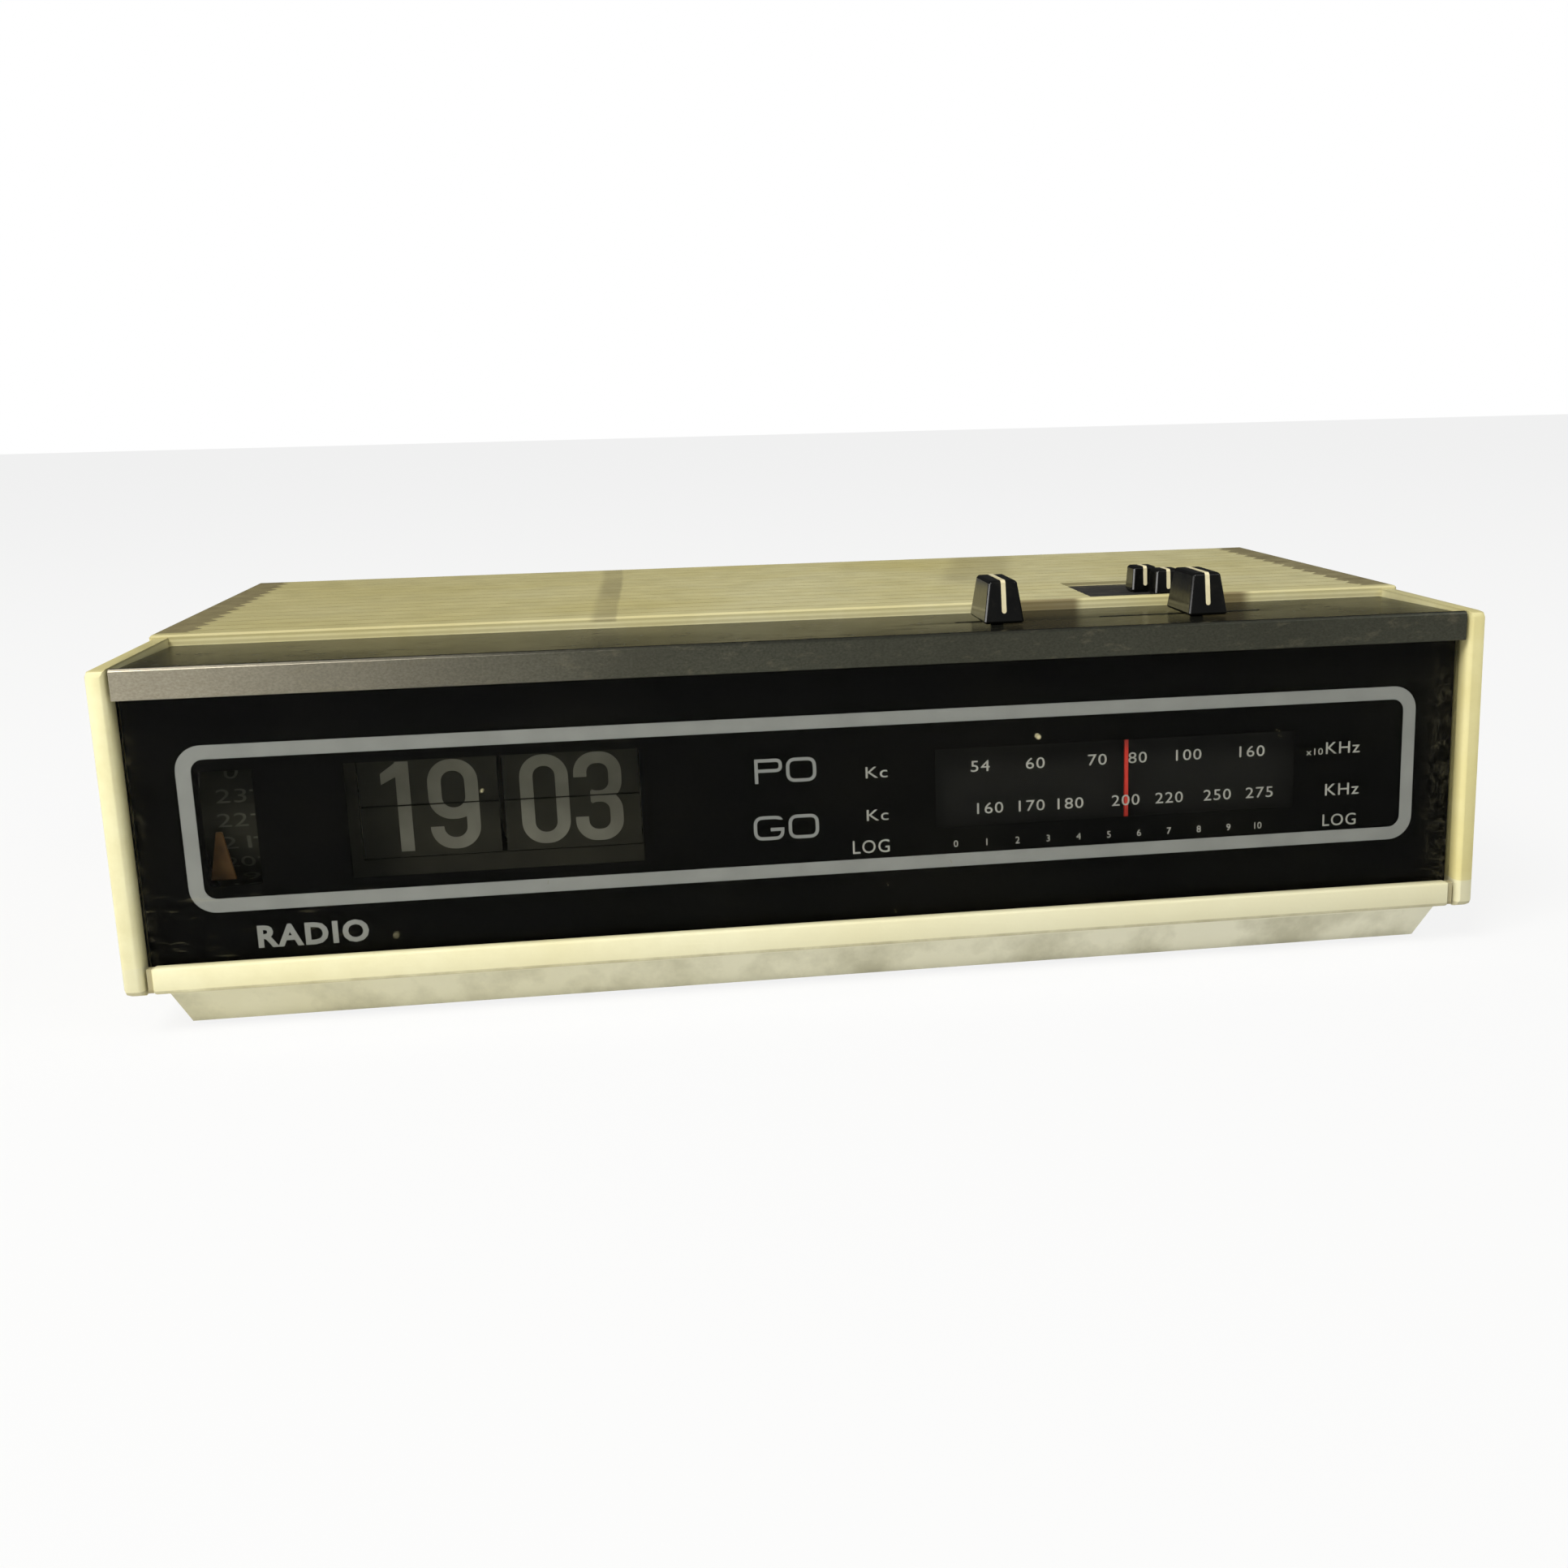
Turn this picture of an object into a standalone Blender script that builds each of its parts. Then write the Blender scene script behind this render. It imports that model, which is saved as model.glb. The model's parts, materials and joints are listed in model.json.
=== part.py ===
"""A mains clock radio: a flip clock and a two-band radio side by side in one long moulded case.

Metres, +Z up. The front faces -Y and the origin is on the table, under the middle of the case.
Most places below are given from the front of the case: x to the right of its middle, back from
the front edge of the side cheeks, and up from their lower edge.
"""

import math

import bmesh
import bpy
from mathutils import Matrix, Vector

# Case
WIDTH = 0.310
DEPTH = 0.169
CHEEK_HEIGHT = 0.0711
CHEEK_WALL = 0.0045
CHEEK_DROP = 0.0007
FIELD_RISE = 0.0007
TOP_WALL = 0.003
TRIM_DEPTH = 0.0489
PLINTH_HEIGHT = 0.0095
FOOT_SHOW = 0.0012
GAP = 0.0003
RIB_PITCH = 0.0079
RIB_COUNT = 14
RIB_FIRST_BACK = 0.0555
RIB_REACH = 0.1474
RIB_GROOVE = 0.0011
RECESS_X = (0.0733, 0.1070)
RECESS_BACK = (0.0512, 0.0850)
PLATE_TOP = 0.0708
PILLAR_RADIUS = 0.0035
GRILLE_BACK = (0.096, 0.140)
GRILLE_SLOT_UP = (0.016, 0.0185)
GRILLE_SLOTS = 9
GRILLE_PITCH = 0.005
INLET = (-0.115, 0.016)
PILLAR_PLACES = ((-0.137, 0.080), (0.137, 0.080), (-0.137, 0.155), (0.137, 0.155))
FOOT_PLACES = ((-0.128, 0.022), (0.128, 0.022), (-0.128, 0.147), (0.128, 0.147))
CORNER_NAMES = ("front_left", "front_right", "rear_left", "rear_right")

FRONT = -DEPTH / 2
BASE = PLINTH_HEIGHT + FOOT_SHOW
HALF = WIDTH / 2
INNER = HALF - CHEEK_WALL
TOP = CHEEK_HEIGHT + FIELD_RISE
FLOOR = -PLINTH_HEIGHT + 0.0022

# Clock
CLOCK_BACK = 0.0344
CLOCK_UP = 0.0344
LEAF_FRONT = 0.0194
LEAF_THICKNESS = 0.0005
LEAF_HEIGHT = 0.0121
LEAF_HINGE_BACK = 0.0190
LEAF_RINGS = {"hour": (-0.1054, -0.0746), "minute": (-0.0734, -0.0426)}
HUB_RADIUS = 0.0120
AXLE_RADIUS = 0.0015
ALARM_RADIUS = 0.0205
GEAR_MODULE = 0.001
GEAR_TEETH = 48
TIME_TEETH = 16
MOTOR_TEETH = 10
GEAR_X = (-0.0414, -0.0394)
TIME_BACK = CLOCK_BACK + GEAR_MODULE * (GEAR_TEETH + TIME_TEETH) / 2
MOTOR_ANGLE = -45
MOTOR_REACH = GEAR_MODULE * (GEAR_TEETH + MOTOR_TEETH) / 2
MOTOR_BACK = CLOCK_BACK + MOTOR_REACH * math.cos(math.radians(MOTOR_ANGLE))
MOTOR_UP = CLOCK_UP + MOTOR_REACH * math.sin(math.radians(MOTOR_ANGLE))
ALARM_DRUM_X = (-0.1384, -0.1220)
SHAFT_END_X = 0.1592
SHAFT_RADIUS = 0.0025
SIDE_KNOB_X = (HALF + 0.0005, HALF + 0.0066)
SHAFT_HOLE_RADIUS = 0.0028
TIME_SHAFT_RADIUS = 0.0020
TIME_HOLE_RADIUS = TIME_SHAFT_RADIUS + GAP

# Tuning drive
CORD_UP = 0.0535
CORD_RADIUS = 0.0003
CORD_STANDOFF = 2 * CORD_RADIUS
DRUM_CENTRE = (0.106, 0.100)
DRUM_TRACK = 0.0232
PULLEY_TRACK = 0.004
PULLEY_CENTRES = {
    "cord_pulley_left": (0.016, 0.017),
    "cord_pulley_middle": (0.0788, 0.025),
    "cord_pulley_right": (0.1252, 0.017),
}
SPINDLE_TRACK = 0.003
SPINDLE_BACK = 0.045
SPINDLE_UP = CORD_UP - SPINDLE_TRACK
POINTER_X = 0.0704

# Slider controls: knob's middle, row's distance back, base, and travel to the left and right
LARGE_KNOB = dict(level=0.0702, width=0.0097, depth=0.0185, height=0.0100, inset=(0.0015, 0.0016))
SMALL_KNOB = dict(level=0.0710, width=0.0071, depth=0.0073, height=0.0066, inset=(0.0005, 0.0004))
SLIDERS = {
    "function": dict(x=0.0440, back=0.0278, travel=(0.008, 0.0), **LARGE_KNOB),
    "volume": dict(x=0.0936, back=0.0278, travel=(0.022, 0.014), **LARGE_KNOB),
    "band": dict(x=0.0915, back=0.0677, travel=(0.004, 0.0), **SMALL_KNOB),
    "tone": dict(x=0.0949, back=0.0582, travel=(0.0083, 0.0035), **SMALL_KNOB),
}
STEM_HALF_LENGTH = 0.0015
STEM_HALF_WIDTH = 0.0006
SLOT_HALF_WIDTH = 0.0011
SLOT_END_ROOM = 0.0007

AXIS_TURNS = {
    "X": Matrix.Rotation(math.pi / 2, 4, "Y"),
    "Y": Matrix.Rotation(math.pi / 2, 4, "X"),
    "Z": Matrix.Identity(4),
}
# Turns an outline's own x and y into the case's back and up, with its thickness along X
SIDE_VIEW = Matrix(((0, 0, 1, 0), (1, 0, 0, 0), (0, 1, 0, 0), (0, 0, 0, 1)))

# Finish: colour, roughness, metallic
FINISHES = {
    "ivory_plastic": ((0.78, 0.74, 0.47), 0.42, 0.0),
    "grey_trim": ((0.22, 0.20, 0.17), 0.38, 0.8),
    "smoked_lens": ((0.01, 0.01, 0.01), 0.05, 0.0),
    "black_plastic": ((0.015, 0.015, 0.015), 0.25, 0.0),
    "dark_plate": ((0.03, 0.03, 0.03), 0.5, 0.0),
    "rubber": ((0.02, 0.02, 0.02), 0.8, 0.0),
    "steel": ((0.55, 0.55, 0.54), 0.35, 1.0),
    "brass": ((0.62, 0.47, 0.20), 0.35, 1.0),
    "white_plastic": ((0.75, 0.74, 0.70), 0.5, 0.0),
    "leaf": ((0.03, 0.03, 0.028), 0.5, 0.0),
    "amber": ((0.70, 0.30, 0.05), 0.3, 0.0),
    "pointer_red": ((0.75, 0.06, 0.03), 0.4, 0.0),
    "cord": ((0.55, 0.50, 0.38), 0.8, 0.0),
    "board": ((0.42, 0.26, 0.10), 0.6, 0.0),
    "copper": ((0.55, 0.25, 0.10), 0.35, 1.0),
    "ferrite": ((0.05, 0.05, 0.055), 0.6, 0.0),
    "paper": ((0.06, 0.055, 0.05), 0.9, 0.0),
    "blue_sleeve": ((0.05, 0.12, 0.35), 0.4, 0.0),
    "neon_glass": ((0.85, 0.45, 0.25), 0.1, 0.0),
}


def clear_scene():
    for thing in list(bpy.data.objects):
        bpy.data.objects.remove(thing)


def make_collection(name):
    collection = bpy.data.collections.new(name)
    bpy.context.scene.collection.children.link(collection)
    return collection


def make_material(name):
    colour, roughness, metallic = FINISHES[name]
    material = bpy.data.materials.new(name)
    material.use_nodes = True
    shader = material.node_tree.nodes["Principled BSDF"]
    shader.inputs["Base Color"].default_value = (*colour, 1.0)
    shader.inputs["Roughness"].default_value = roughness
    shader.inputs["Metallic"].default_value = metallic
    return material


clear_scene()
PARTS = make_collection("clock_radio")
CUTTERS = make_collection("cutters")
MATERIALS = {name: make_material(name) for name in FINISHES}


def at(x, back, up):
    """The world place of a point that is given from the front of the case."""
    return Vector((x, FRONT + back, BASE + up))


def add(name, data, finish, place, turn=None):
    """Adds an object to the parts, or to the cutters where it has no finish."""
    thing = bpy.data.objects.new(name, data)
    if turn is not None:
        thing.rotation_euler = turn.to_euler()
    thing.location = place
    if finish is None:
        CUTTERS.objects.link(thing)
        thing.hide_render = True
        thing.display_type = "WIRE"
    else:
        PARTS.objects.link(thing)
        data.materials.append(MATERIALS[finish])
    return thing


def add_bmesh(name, shape, finish, place, turn=None, smooth=False):
    data = bpy.data.meshes.new(name)
    shape.to_mesh(data)
    shape.free()
    if smooth:
        data.shade_smooth()
        data.set_sharp_from_angle(angle=math.radians(35))
    return add(name, data, finish, place, turn)


def box(name, finish, x, back, up, inset_top=(0, 0), inset_bottom=(0, 0)):
    """A box between three (low, high) pairs. An inset draws its top or bottom in along x and back."""
    low = at(x[0], back[0], up[0])
    high = at(x[1], back[1], up[1])
    shape = bmesh.new()
    bmesh.ops.create_cube(shape, size=1.0)
    bmesh.ops.scale(shape, vec=high - low, verts=shape.verts)
    for corner in shape.verts:
        inset = inset_top if corner.co.z > 0 else inset_bottom
        corner.co.x -= math.copysign(inset[0], corner.co.x)
        corner.co.y -= math.copysign(inset[1], corner.co.y)
    return add_bmesh(name, shape, finish, (low + high) / 2)


def cylinder(name, finish, centre, radius, length, axis="Z", sides=24):
    shape = bmesh.new()
    bmesh.ops.create_cone(
        shape, cap_ends=True, segments=sides, radius1=radius, radius2=radius, depth=length
    )
    return add_bmesh(name, shape, finish, at(*centre), AXIS_TURNS[axis], smooth=True)


def turned(name, finish, profile, place, axis="Z", sides=24, closed=False):
    """A turned shape. The profile's (radius, height) points run down its outer side."""
    data = bpy.data.meshes.new(name)
    points = [(radius, 0, height) for radius, height in profile]
    edges = [(i, i + 1) for i in range(len(points) - 1)]
    if closed:
        edges.append((len(points) - 1, 0))
    data.from_pydata(points, edges, [])
    thing = add(name, data, finish, place, AXIS_TURNS[axis])
    screw = thing.modifiers.new("turn", "SCREW")
    screw.axis = "Z"
    screw.steps = sides
    screw.render_steps = sides
    screw.use_merge_vertices = True
    screw.merge_threshold = 0.00001
    screw.use_smooth_shade = False
    return thing


def outline(name, finish, loops, thickness, place, turn):
    """A flat outline with holes, made solid to a thickness."""
    data = bpy.data.curves.new(name, "CURVE")
    data.dimensions = "2D"
    data.fill_mode = "BOTH"
    data.extrude = thickness / 2
    for loop in loops:
        spline = data.splines.new("POLY")
        spline.points.add(len(loop) - 1)
        for point, (u, v) in zip(spline.points, loop):
            point.co = (u, v, 0, 1)
        spline.use_cyclic_u = True
    return add(name, data, finish, place, turn)


def as_mesh(curve):
    """The same piece as a mesh, so that it can take a Boolean."""
    bpy.context.view_layer.update()
    graph = bpy.context.evaluated_depsgraph_get()
    data = bpy.data.meshes.new_from_object(curve.evaluated_get(graph))
    shape = bmesh.new()
    shape.from_mesh(data)
    bmesh.ops.remove_doubles(shape, verts=shape.verts, dist=0.000001)
    shape.to_mesh(data)
    shape.free()
    name = curve.name
    home = curve.users_collection[0]
    place = curve.matrix_world.copy()
    hidden = curve.hide_render
    bpy.data.objects.remove(curve)
    thing = bpy.data.objects.new(name, data)
    thing.matrix_world = place
    thing.hide_render = hidden
    home.objects.link(thing)
    return thing


def boolean(target, tool, operation="DIFFERENCE"):
    change = target.modifiers.new(operation.lower(), "BOOLEAN")
    change.operation = operation
    change.object = tool


def cut_box(target, x, back, up):
    boolean(target, box("cut", None, x, back, up))


def join_box(target, x, back, up):
    tool = box("join", None, x, back, up)
    boolean(target, tool, "UNION")
    return tool


def cut_round(target, centre, radius, length, axis="Z", sides=20):
    boolean(target, cylinder("cut", None, centre, radius, length, axis, sides))


def repeat(thing, count, step):
    rows = thing.modifiers.new("rows", "ARRAY")
    rows.count = count
    rows.use_relative_offset = False
    rows.use_constant_offset = True
    rows.constant_offset_displace = step


def bevel(thing, width, segments=2):
    edge = thing.modifiers.new("edge", "BEVEL")
    edge.width = width
    edge.segments = segments
    edge.limit_method = "ANGLE"
    edge.angle_limit = math.radians(40)


def circle(radius, sides, centre=(0.0, 0.0)):
    turns = [2 * math.pi * i / sides for i in range(sides)]
    return [(centre[0] + radius * math.cos(a), centre[1] + radius * math.sin(a)) for a in turns]


def slot_span(slider):
    """The x range that a slider's stem sweeps, with room at both ends."""
    reach = STEM_HALF_LENGTH + SLOT_END_ROOM
    return slider["x"] - slider["travel"][0] - reach, slider["x"] + slider["travel"][1] + reach


def make_upper_cabinet():
    """The top and the two side cheeks, one moulding."""
    case = box("upper_cabinet", "ivory_plastic", (-HALF, HALF), (0, DEPTH), (-CHEEK_DROP, CHEEK_HEIGHT))
    bevel(case, 0.0016)
    field_reach = HALF - 0.0002
    field = join_box(case, (-field_reach, field_reach), (TRIM_DEPTH, DEPTH - 0.0006), (TOP - 0.002, TOP))
    bevel(field, 0.0005, 1)
    over = 0.002
    cut_box(case, (-INNER, INNER), (-over, DEPTH + over), (-over, TOP - TOP_WALL))
    cut_box(case, (-INNER, INNER), (-over, TRIM_DEPTH), (0.05, TOP + over))
    # Rounds the cheeks' inner front edges
    corner = [(0.0012, 0.0), (0.0008, 0.0002), (0.0003, 0.0007), (0.0, 0.0018)]
    right_side = [(INNER + 0.0012, -over)] + [(INNER + out, back) for out, back in corner]
    left_side = [(-x, back) for x, back in reversed(right_side)]
    flare = outline("flare", None, [right_side + left_side], 0.2, at(0, 0, 0), AXIS_TURNS["Z"])
    boolean(case, as_mesh(flare))
    groove_back = (RIB_FIRST_BACK, RIB_FIRST_BACK + RIB_GROOVE)
    groove = box("groove", None, (-RIB_REACH, RIB_REACH), groove_back, (TOP - 0.0006, TOP + over))
    repeat(groove, RIB_COUNT, (0, RIB_PITCH, 0))
    boolean(case, groove)
    cut_box(case, RECESS_X, RECESS_BACK, (0.05, TOP + over))
    pillar_foot = FLOOR + 0.0004
    pillar_head = TOP - TOP_WALL / 2
    for x, back in PILLAR_PLACES:
        middle = (x, back, (pillar_head + pillar_foot) / 2)
        pillar = cylinder("pillar", None, middle, PILLAR_RADIUS, pillar_head - pillar_foot, sides=12)
        boolean(case, pillar, "UNION")
        cut_round(case, (x, back, 0), 0.0016, 0.018, sides=12)
    grille = box("grille", None, (-HALF - over, -INNER + over), GRILLE_BACK, GRILLE_SLOT_UP)
    repeat(grille, GRILLE_SLOTS, (0, 0, GRILLE_PITCH))
    boolean(case, grille)
    wall_middle = HALF - CHEEK_WALL / 2
    cut_round(case, (-wall_middle, CLOCK_BACK, CLOCK_UP), SHAFT_HOLE_RADIUS, 0.02, "X")
    cut_round(case, (-wall_middle, TIME_BACK, CLOCK_UP), TIME_HOLE_RADIUS, 0.02, "X")
    cut_round(case, (wall_middle, SPINDLE_BACK, SPINDLE_UP), SHAFT_HOLE_RADIUS, 0.02, "X")


def make_lower_cabinet():
    """The floor: a shallow tray whose lower part tapers into the plinth, with a lip along the front."""
    rim = INNER - GAP
    tray = box("lower_cabinet", "ivory_plastic", (-0.146, 0.146), (0.001, DEPTH - 0.001),
               (-PLINTH_HEIGHT, 0.0005), inset_bottom=(0.0026, 0.007))
    join_box(tray, (-rim, rim), (0.0030, DEPTH), (-0.0003, 0.0022))
    join_box(tray, (-0.1499, 0.1499), (0.0010, 0.0031), (-0.0001, 0.0052))
    lip = join_box(tray, (-0.1486, 0.1486), (0, 0.0034), (-0.0003, 0.0055))
    bevel(lip, 0.0006, 2)
    cut_box(tray, (-0.1412, 0.1412), (0.0100, DEPTH - 0.0100), (FLOOR, 0.01))
    post_up = (FLOOR - 0.001, 0.0037)
    post = 0.003
    for x in (-0.008, 0.124):
        for back in (0.070, 0.148):
            join_box(tray, (x - post, x + post), (back - post, back + post), post_up)
    vents = box("vents", None, (-0.045, -0.015), (0.100, 0.103), (-0.02, FLOOR + 0.001))
    repeat(vents, 5, (0, 0.008, 0))
    boolean(tray, vents)
    for x, back in PILLAR_PLACES:
        cut_round(tray, (x, back, FLOOR), 0.0017, 0.01, sides=12)
        cut_round(tray, (x, back, -PLINTH_HEIGHT), 0.0034, 0.0024, sides=16)
    for x, back in FOOT_PLACES:
        cut_round(tray, (x, back, -PLINTH_HEIGHT), 0.0064, 0.003, sides=24)


def make_rear_cover():
    edge = INNER - GAP
    cover = box("rear_cover", "ivory_plastic", (-edge, edge), (DEPTH - 0.0026, DEPTH),
                (0.0025, TOP - TOP_WALL - GAP))
    vent = box("vent", None, (-0.060, -0.0575), (DEPTH - 0.01, DEPTH + 0.01), (0.030, 0.058))
    repeat(vent, 14, (0.0065, 0, 0))
    boolean(cover, vent)
    x, up = INLET
    cut_round(cover, (x, DEPTH, up), 0.0065, 0.02, "Y")


def make_grommet():
    """The mains lead's inlet in the rear cover."""
    outer = 0.0062
    bore = 0.0036
    profile = [(bore, 0.0044), (outer, 0.0044), (outer, 0), (bore, 0)]
    x, up = INLET
    turned("cord_grommet", "rubber", profile, at(x, DEPTH, up), "Y", 24, closed=True)


def make_front():
    """The L-shaped trim, the window behind it and the plate in the top's recess."""
    edge = 0.1499
    profile = [(0, 0.0644), (0.0016, 0.0644), (0.0016, 0.0686), (TRIM_DEPTH - GAP, 0.0677),
               (TRIM_DEPTH - GAP, 0.0692), (0.0028, 0.0704), (0.0016, 0.0711), (0.0005, 0.0711), (0, 0.0706)]
    trim = as_mesh(outline("front_trim", "grey_trim", [profile], 2 * edge, at(0, 0, 0), SIDE_VIEW))
    for name in ("function", "volume"):
        slider = SLIDERS[name]
        rows = (slider["back"] - SLOT_HALF_WIDTH, slider["back"] + SLOT_HALF_WIDTH)
        cut_box(trim, slot_span(slider), rows, (0.06, 0.08))
    lens = box("front_lens", "smoked_lens", (-0.1502, 0.1502), (0.0039, 0.0057), (0.0026, 0.0668))
    bevel(lens, 0.0003, 1)
    left, right = RECESS_X
    near, far = RECESS_BACK
    plate = box("switch_plate", "dark_plate", (left + GAP, right - GAP), (near + GAP, far - GAP),
                (0.0670, PLATE_TOP))
    flange = 0.003
    join_box(plate, (left - flange, right + flange), (near - 0.0012, far + flange), (0.0664, 0.0685))
    for name in ("band", "tone"):
        slider = SLIDERS[name]
        rows = (slider["back"] - SLOT_HALF_WIDTH, slider["back"] + SLOT_HALF_WIDTH)
        cut_box(plate, slot_span(slider), rows, (0.06, 0.08))


def make_feet_and_screws():
    foot_top = -PLINTH_HEIGHT + 0.0012
    for (x, back), corner in zip(FOOT_PLACES, CORNER_NAMES):
        cylinder(f"foot_{corner}", "rubber", (x, back, (foot_top - BASE) / 2), 0.0060, foot_top + BASE)
    length, head, thread = 0.0125, 0.0030, 0.0012
    profile = [(0, length), (thread, length), (thread, 0.0009), (head, 0.0009), (head, 0.0003),
               (head - 0.0008, 0), (0, 0)]
    for (x, back), corner in zip(PILLAR_PLACES, CORNER_NAMES):
        turned(f"case_screw_{corner}", "steel", profile, at(x, back, -PLINTH_HEIGHT), "Z", 16)


def make_sliders():
    """The four slider knobs, each with its stem, and the switch or potentiometer under it."""
    bodies = {
        "function": ("function_switch", 0.0052, 0.0670),
        "volume": ("volume_pot", 0.0052, 0.0670),
        "band": ("band_switch", 0.0038, 0.0660),
        "tone": ("tone_pot", 0.0038, 0.0660),
    }
    for name, slider in SLIDERS.items():
        x, back = slider["x"], slider["back"]
        half_width, half_depth = slider["width"] / 2, slider["depth"] / 2
        top = slider["level"] + slider["height"]
        knob = box(f"{name}_knob", "black_plastic", (x - half_width, x + half_width),
                   (back - half_depth, back + half_depth), (slider["level"], top),
                   inset_top=slider["inset"])
        bevel(knob, 0.0005, 1)
        stem_x = (x - STEM_HALF_LENGTH, x + STEM_HALF_LENGTH)
        stem_back = (back - STEM_HALF_WIDTH, back + STEM_HALF_WIDTH)
        join_box(knob, stem_x, stem_back, (0.0610, top - 0.003))
        body_name, body_half, body_top = bodies[name]
        span = slot_span(slider)
        margin = 0.003
        body = box(body_name, "steel", (span[0] - margin, span[1] + margin),
                   (back - body_half, back + body_half), (0.0575, body_top))
        rows = (back - SLOT_HALF_WIDTH, back + SLOT_HALF_WIDTH)
        cut_box(body, span, rows, (0.0600, body_top + 0.001))


def cord_route():
    """The dial cord's loop: front strand, right pulley, spindle, dial drum, and back by the other two."""
    def arc(centre, radius, start, end, steps):
        x, back = centre
        turns = [math.radians(start + (end - start) * i / steps) for i in range(steps + 1)]
        return [(x + radius * math.cos(a), back + radius * math.sin(a), CORD_UP) for a in turns]

    route = arc(PULLEY_CENTRES["cord_pulley_right"], PULLEY_TRACK, -90, 0, 4)
    wraps = 2
    steps = 16
    shift = 0.0016
    middle = DRUM_CENTRE[0] + DRUM_TRACK
    for i in range(wraps * steps + 1):
        turn = 2 * math.pi * i / steps
        x = middle + shift * (i / (wraps * steps) - 0.5)
        back = SPINDLE_BACK + SPINDLE_TRACK * math.sin(turn)
        route.append((x, back, SPINDLE_UP + SPINDLE_TRACK * math.cos(turn)))
    route += arc(DRUM_CENTRE, DRUM_TRACK, 0, 180, 16)
    route += arc(PULLEY_CENTRES["cord_pulley_middle"], PULLEY_TRACK, 0, -90, 4)
    route += arc(PULLEY_CENTRES["cord_pulley_left"], PULLEY_TRACK, 90, 270, 8)
    return [at(*point) for point in route]


def make_dial_cord():
    data = bpy.data.curves.new("dial_cord", "CURVE")
    data.dimensions = "3D"
    data.bevel_depth = CORD_RADIUS
    data.bevel_resolution = 1
    route = cord_route()
    spline = data.splines.new("POLY")
    spline.points.add(len(route) - 1)
    for point, place in zip(spline.points, route):
        point.co = (*place, 1)
    spline.use_cyclic_u = True
    add("dial_cord", data, "cord", (0, 0, 0))


def groove_profile(track, bore=None, shaft=None):
    """A pulley's or drum's rim with a cord groove, around the height of the cord."""
    bed = track - CORD_STANDOFF
    rim = track + 0.0009
    low, high = 0.0007, 0.0014
    side = [(rim, high), (rim, low), (bed, low), (bed, -low), (rim, -low), (rim, -high)]
    if bore:
        return [(bore, high)] + side + [(bore, -high)]
    return [(0, high)] + side + [(shaft[0], -high), (shaft[0], -shaft[1]), (0, -shaft[1])]


def make_tuning():
    """The tuning knob and spindle, the cord drive, the pointer and the capacitor that it turns."""
    make_dial_cord()
    pulley = groove_profile(PULLEY_TRACK, bore=0.0015)
    for name, (x, back) in PULLEY_CENTRES.items():
        turned(name, "brass", pulley, at(x, back, CORD_UP), "Z", 16, closed=True)
    drum = groove_profile(DRUM_TRACK, shaft=(0.003, 0.0255))
    turned("dial_drum", "white_plastic", drum, at(*DRUM_CENTRE, CORD_UP), "Z", 36)
    x, back = DRUM_CENTRE
    half, top = 0.012, 0.032
    capacitor = box("tuning_capacitor", "white_plastic", (x - half, x + half),
                    (back - half, back + half), (0.0059, top))
    cut_round(capacitor, (x, back, top), 0.0033, 0.010)

    plate = box("dial_plate", "dark_plate", (0.008, 0.133), (0.0096, 0.0108), (0.014, 0.050))
    join_box(plate, (0.008, 0.133), (0.0100, 0.030), (0.0488, 0.050))
    join_box(plate, (0.119, 0.1235), (0.029, 0.0416), (0.0488, 0.050))
    join_box(plate, (0.119, 0.1202), (0.0404, 0.0496), (0.0455, 0.0550))
    for x, back in PULLEY_CENTRES.values():
        pin = cylinder("pin", None, (x, back, 0.0525), 0.0012, 0.006, sides=12)
        boolean(plate, pin, "UNION")
    cut_round(plate, (0.1196, SPINDLE_BACK, SPINDLE_UP), SHAFT_HOLE_RADIUS, 0.006, "X")

    needle = (POINTER_X - 0.00045, POINTER_X + 0.00045)
    pointer = box("dial_pointer", "pointer_red", needle, (0.0072, 0.0080), (0.0245, 0.0526))
    join_box(pointer, (POINTER_X - 0.004, POINTER_X + 0.004), (0.0072, 0.0136), (0.0514, 0.0526))

    x = DRUM_CENTRE[0] + DRUM_TRACK
    shaft, bed, rim = SHAFT_RADIUS, SPINDLE_TRACK - CORD_STANDOFF, 0.0038
    spool = [(shaft, 0.0030), (rim, 0.0030), (rim, 0.0018), (bed, 0.0018)]
    near_side = [(radius, x + along) for radius, along in spool]
    far_side = [(radius, x - along) for radius, along in reversed(spool)]
    spindle = [(0, SHAFT_END_X), (shaft, SHAFT_END_X)] + near_side + far_side
    spindle += [(shaft, 0.1180), (0, 0.1180)]
    turned("tuning_spindle", "steel", spindle, at(0, SPINDLE_BACK, SPINDLE_UP), "X", 16)
    side_knob("tuning_knob", 1, SPINDLE_BACK, SPINDLE_UP, 0.0150, 36)


def side_knob(name, side, back, up, radius, sides, neck=SHAFT_HOLE_RADIUS, neck_end=SHAFT_END_X + 0.0005):
    """A round knob on a side cheek, with a blind bore for its shaft, or a shaft of its own."""
    inner, outer = SIDE_KNOB_X
    edge = 0.0012
    profile = [(0, outer), (radius - edge, outer), (radius, outer - edge), (radius, inner),
               (neck, inner), (neck, neck_end), (0, neck_end)]
    if side < 0:
        profile = [(r, -x) for r, x in reversed(profile)]
    turned(name, "black_plastic", profile, at(0, back, up), "X", sides)


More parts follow.
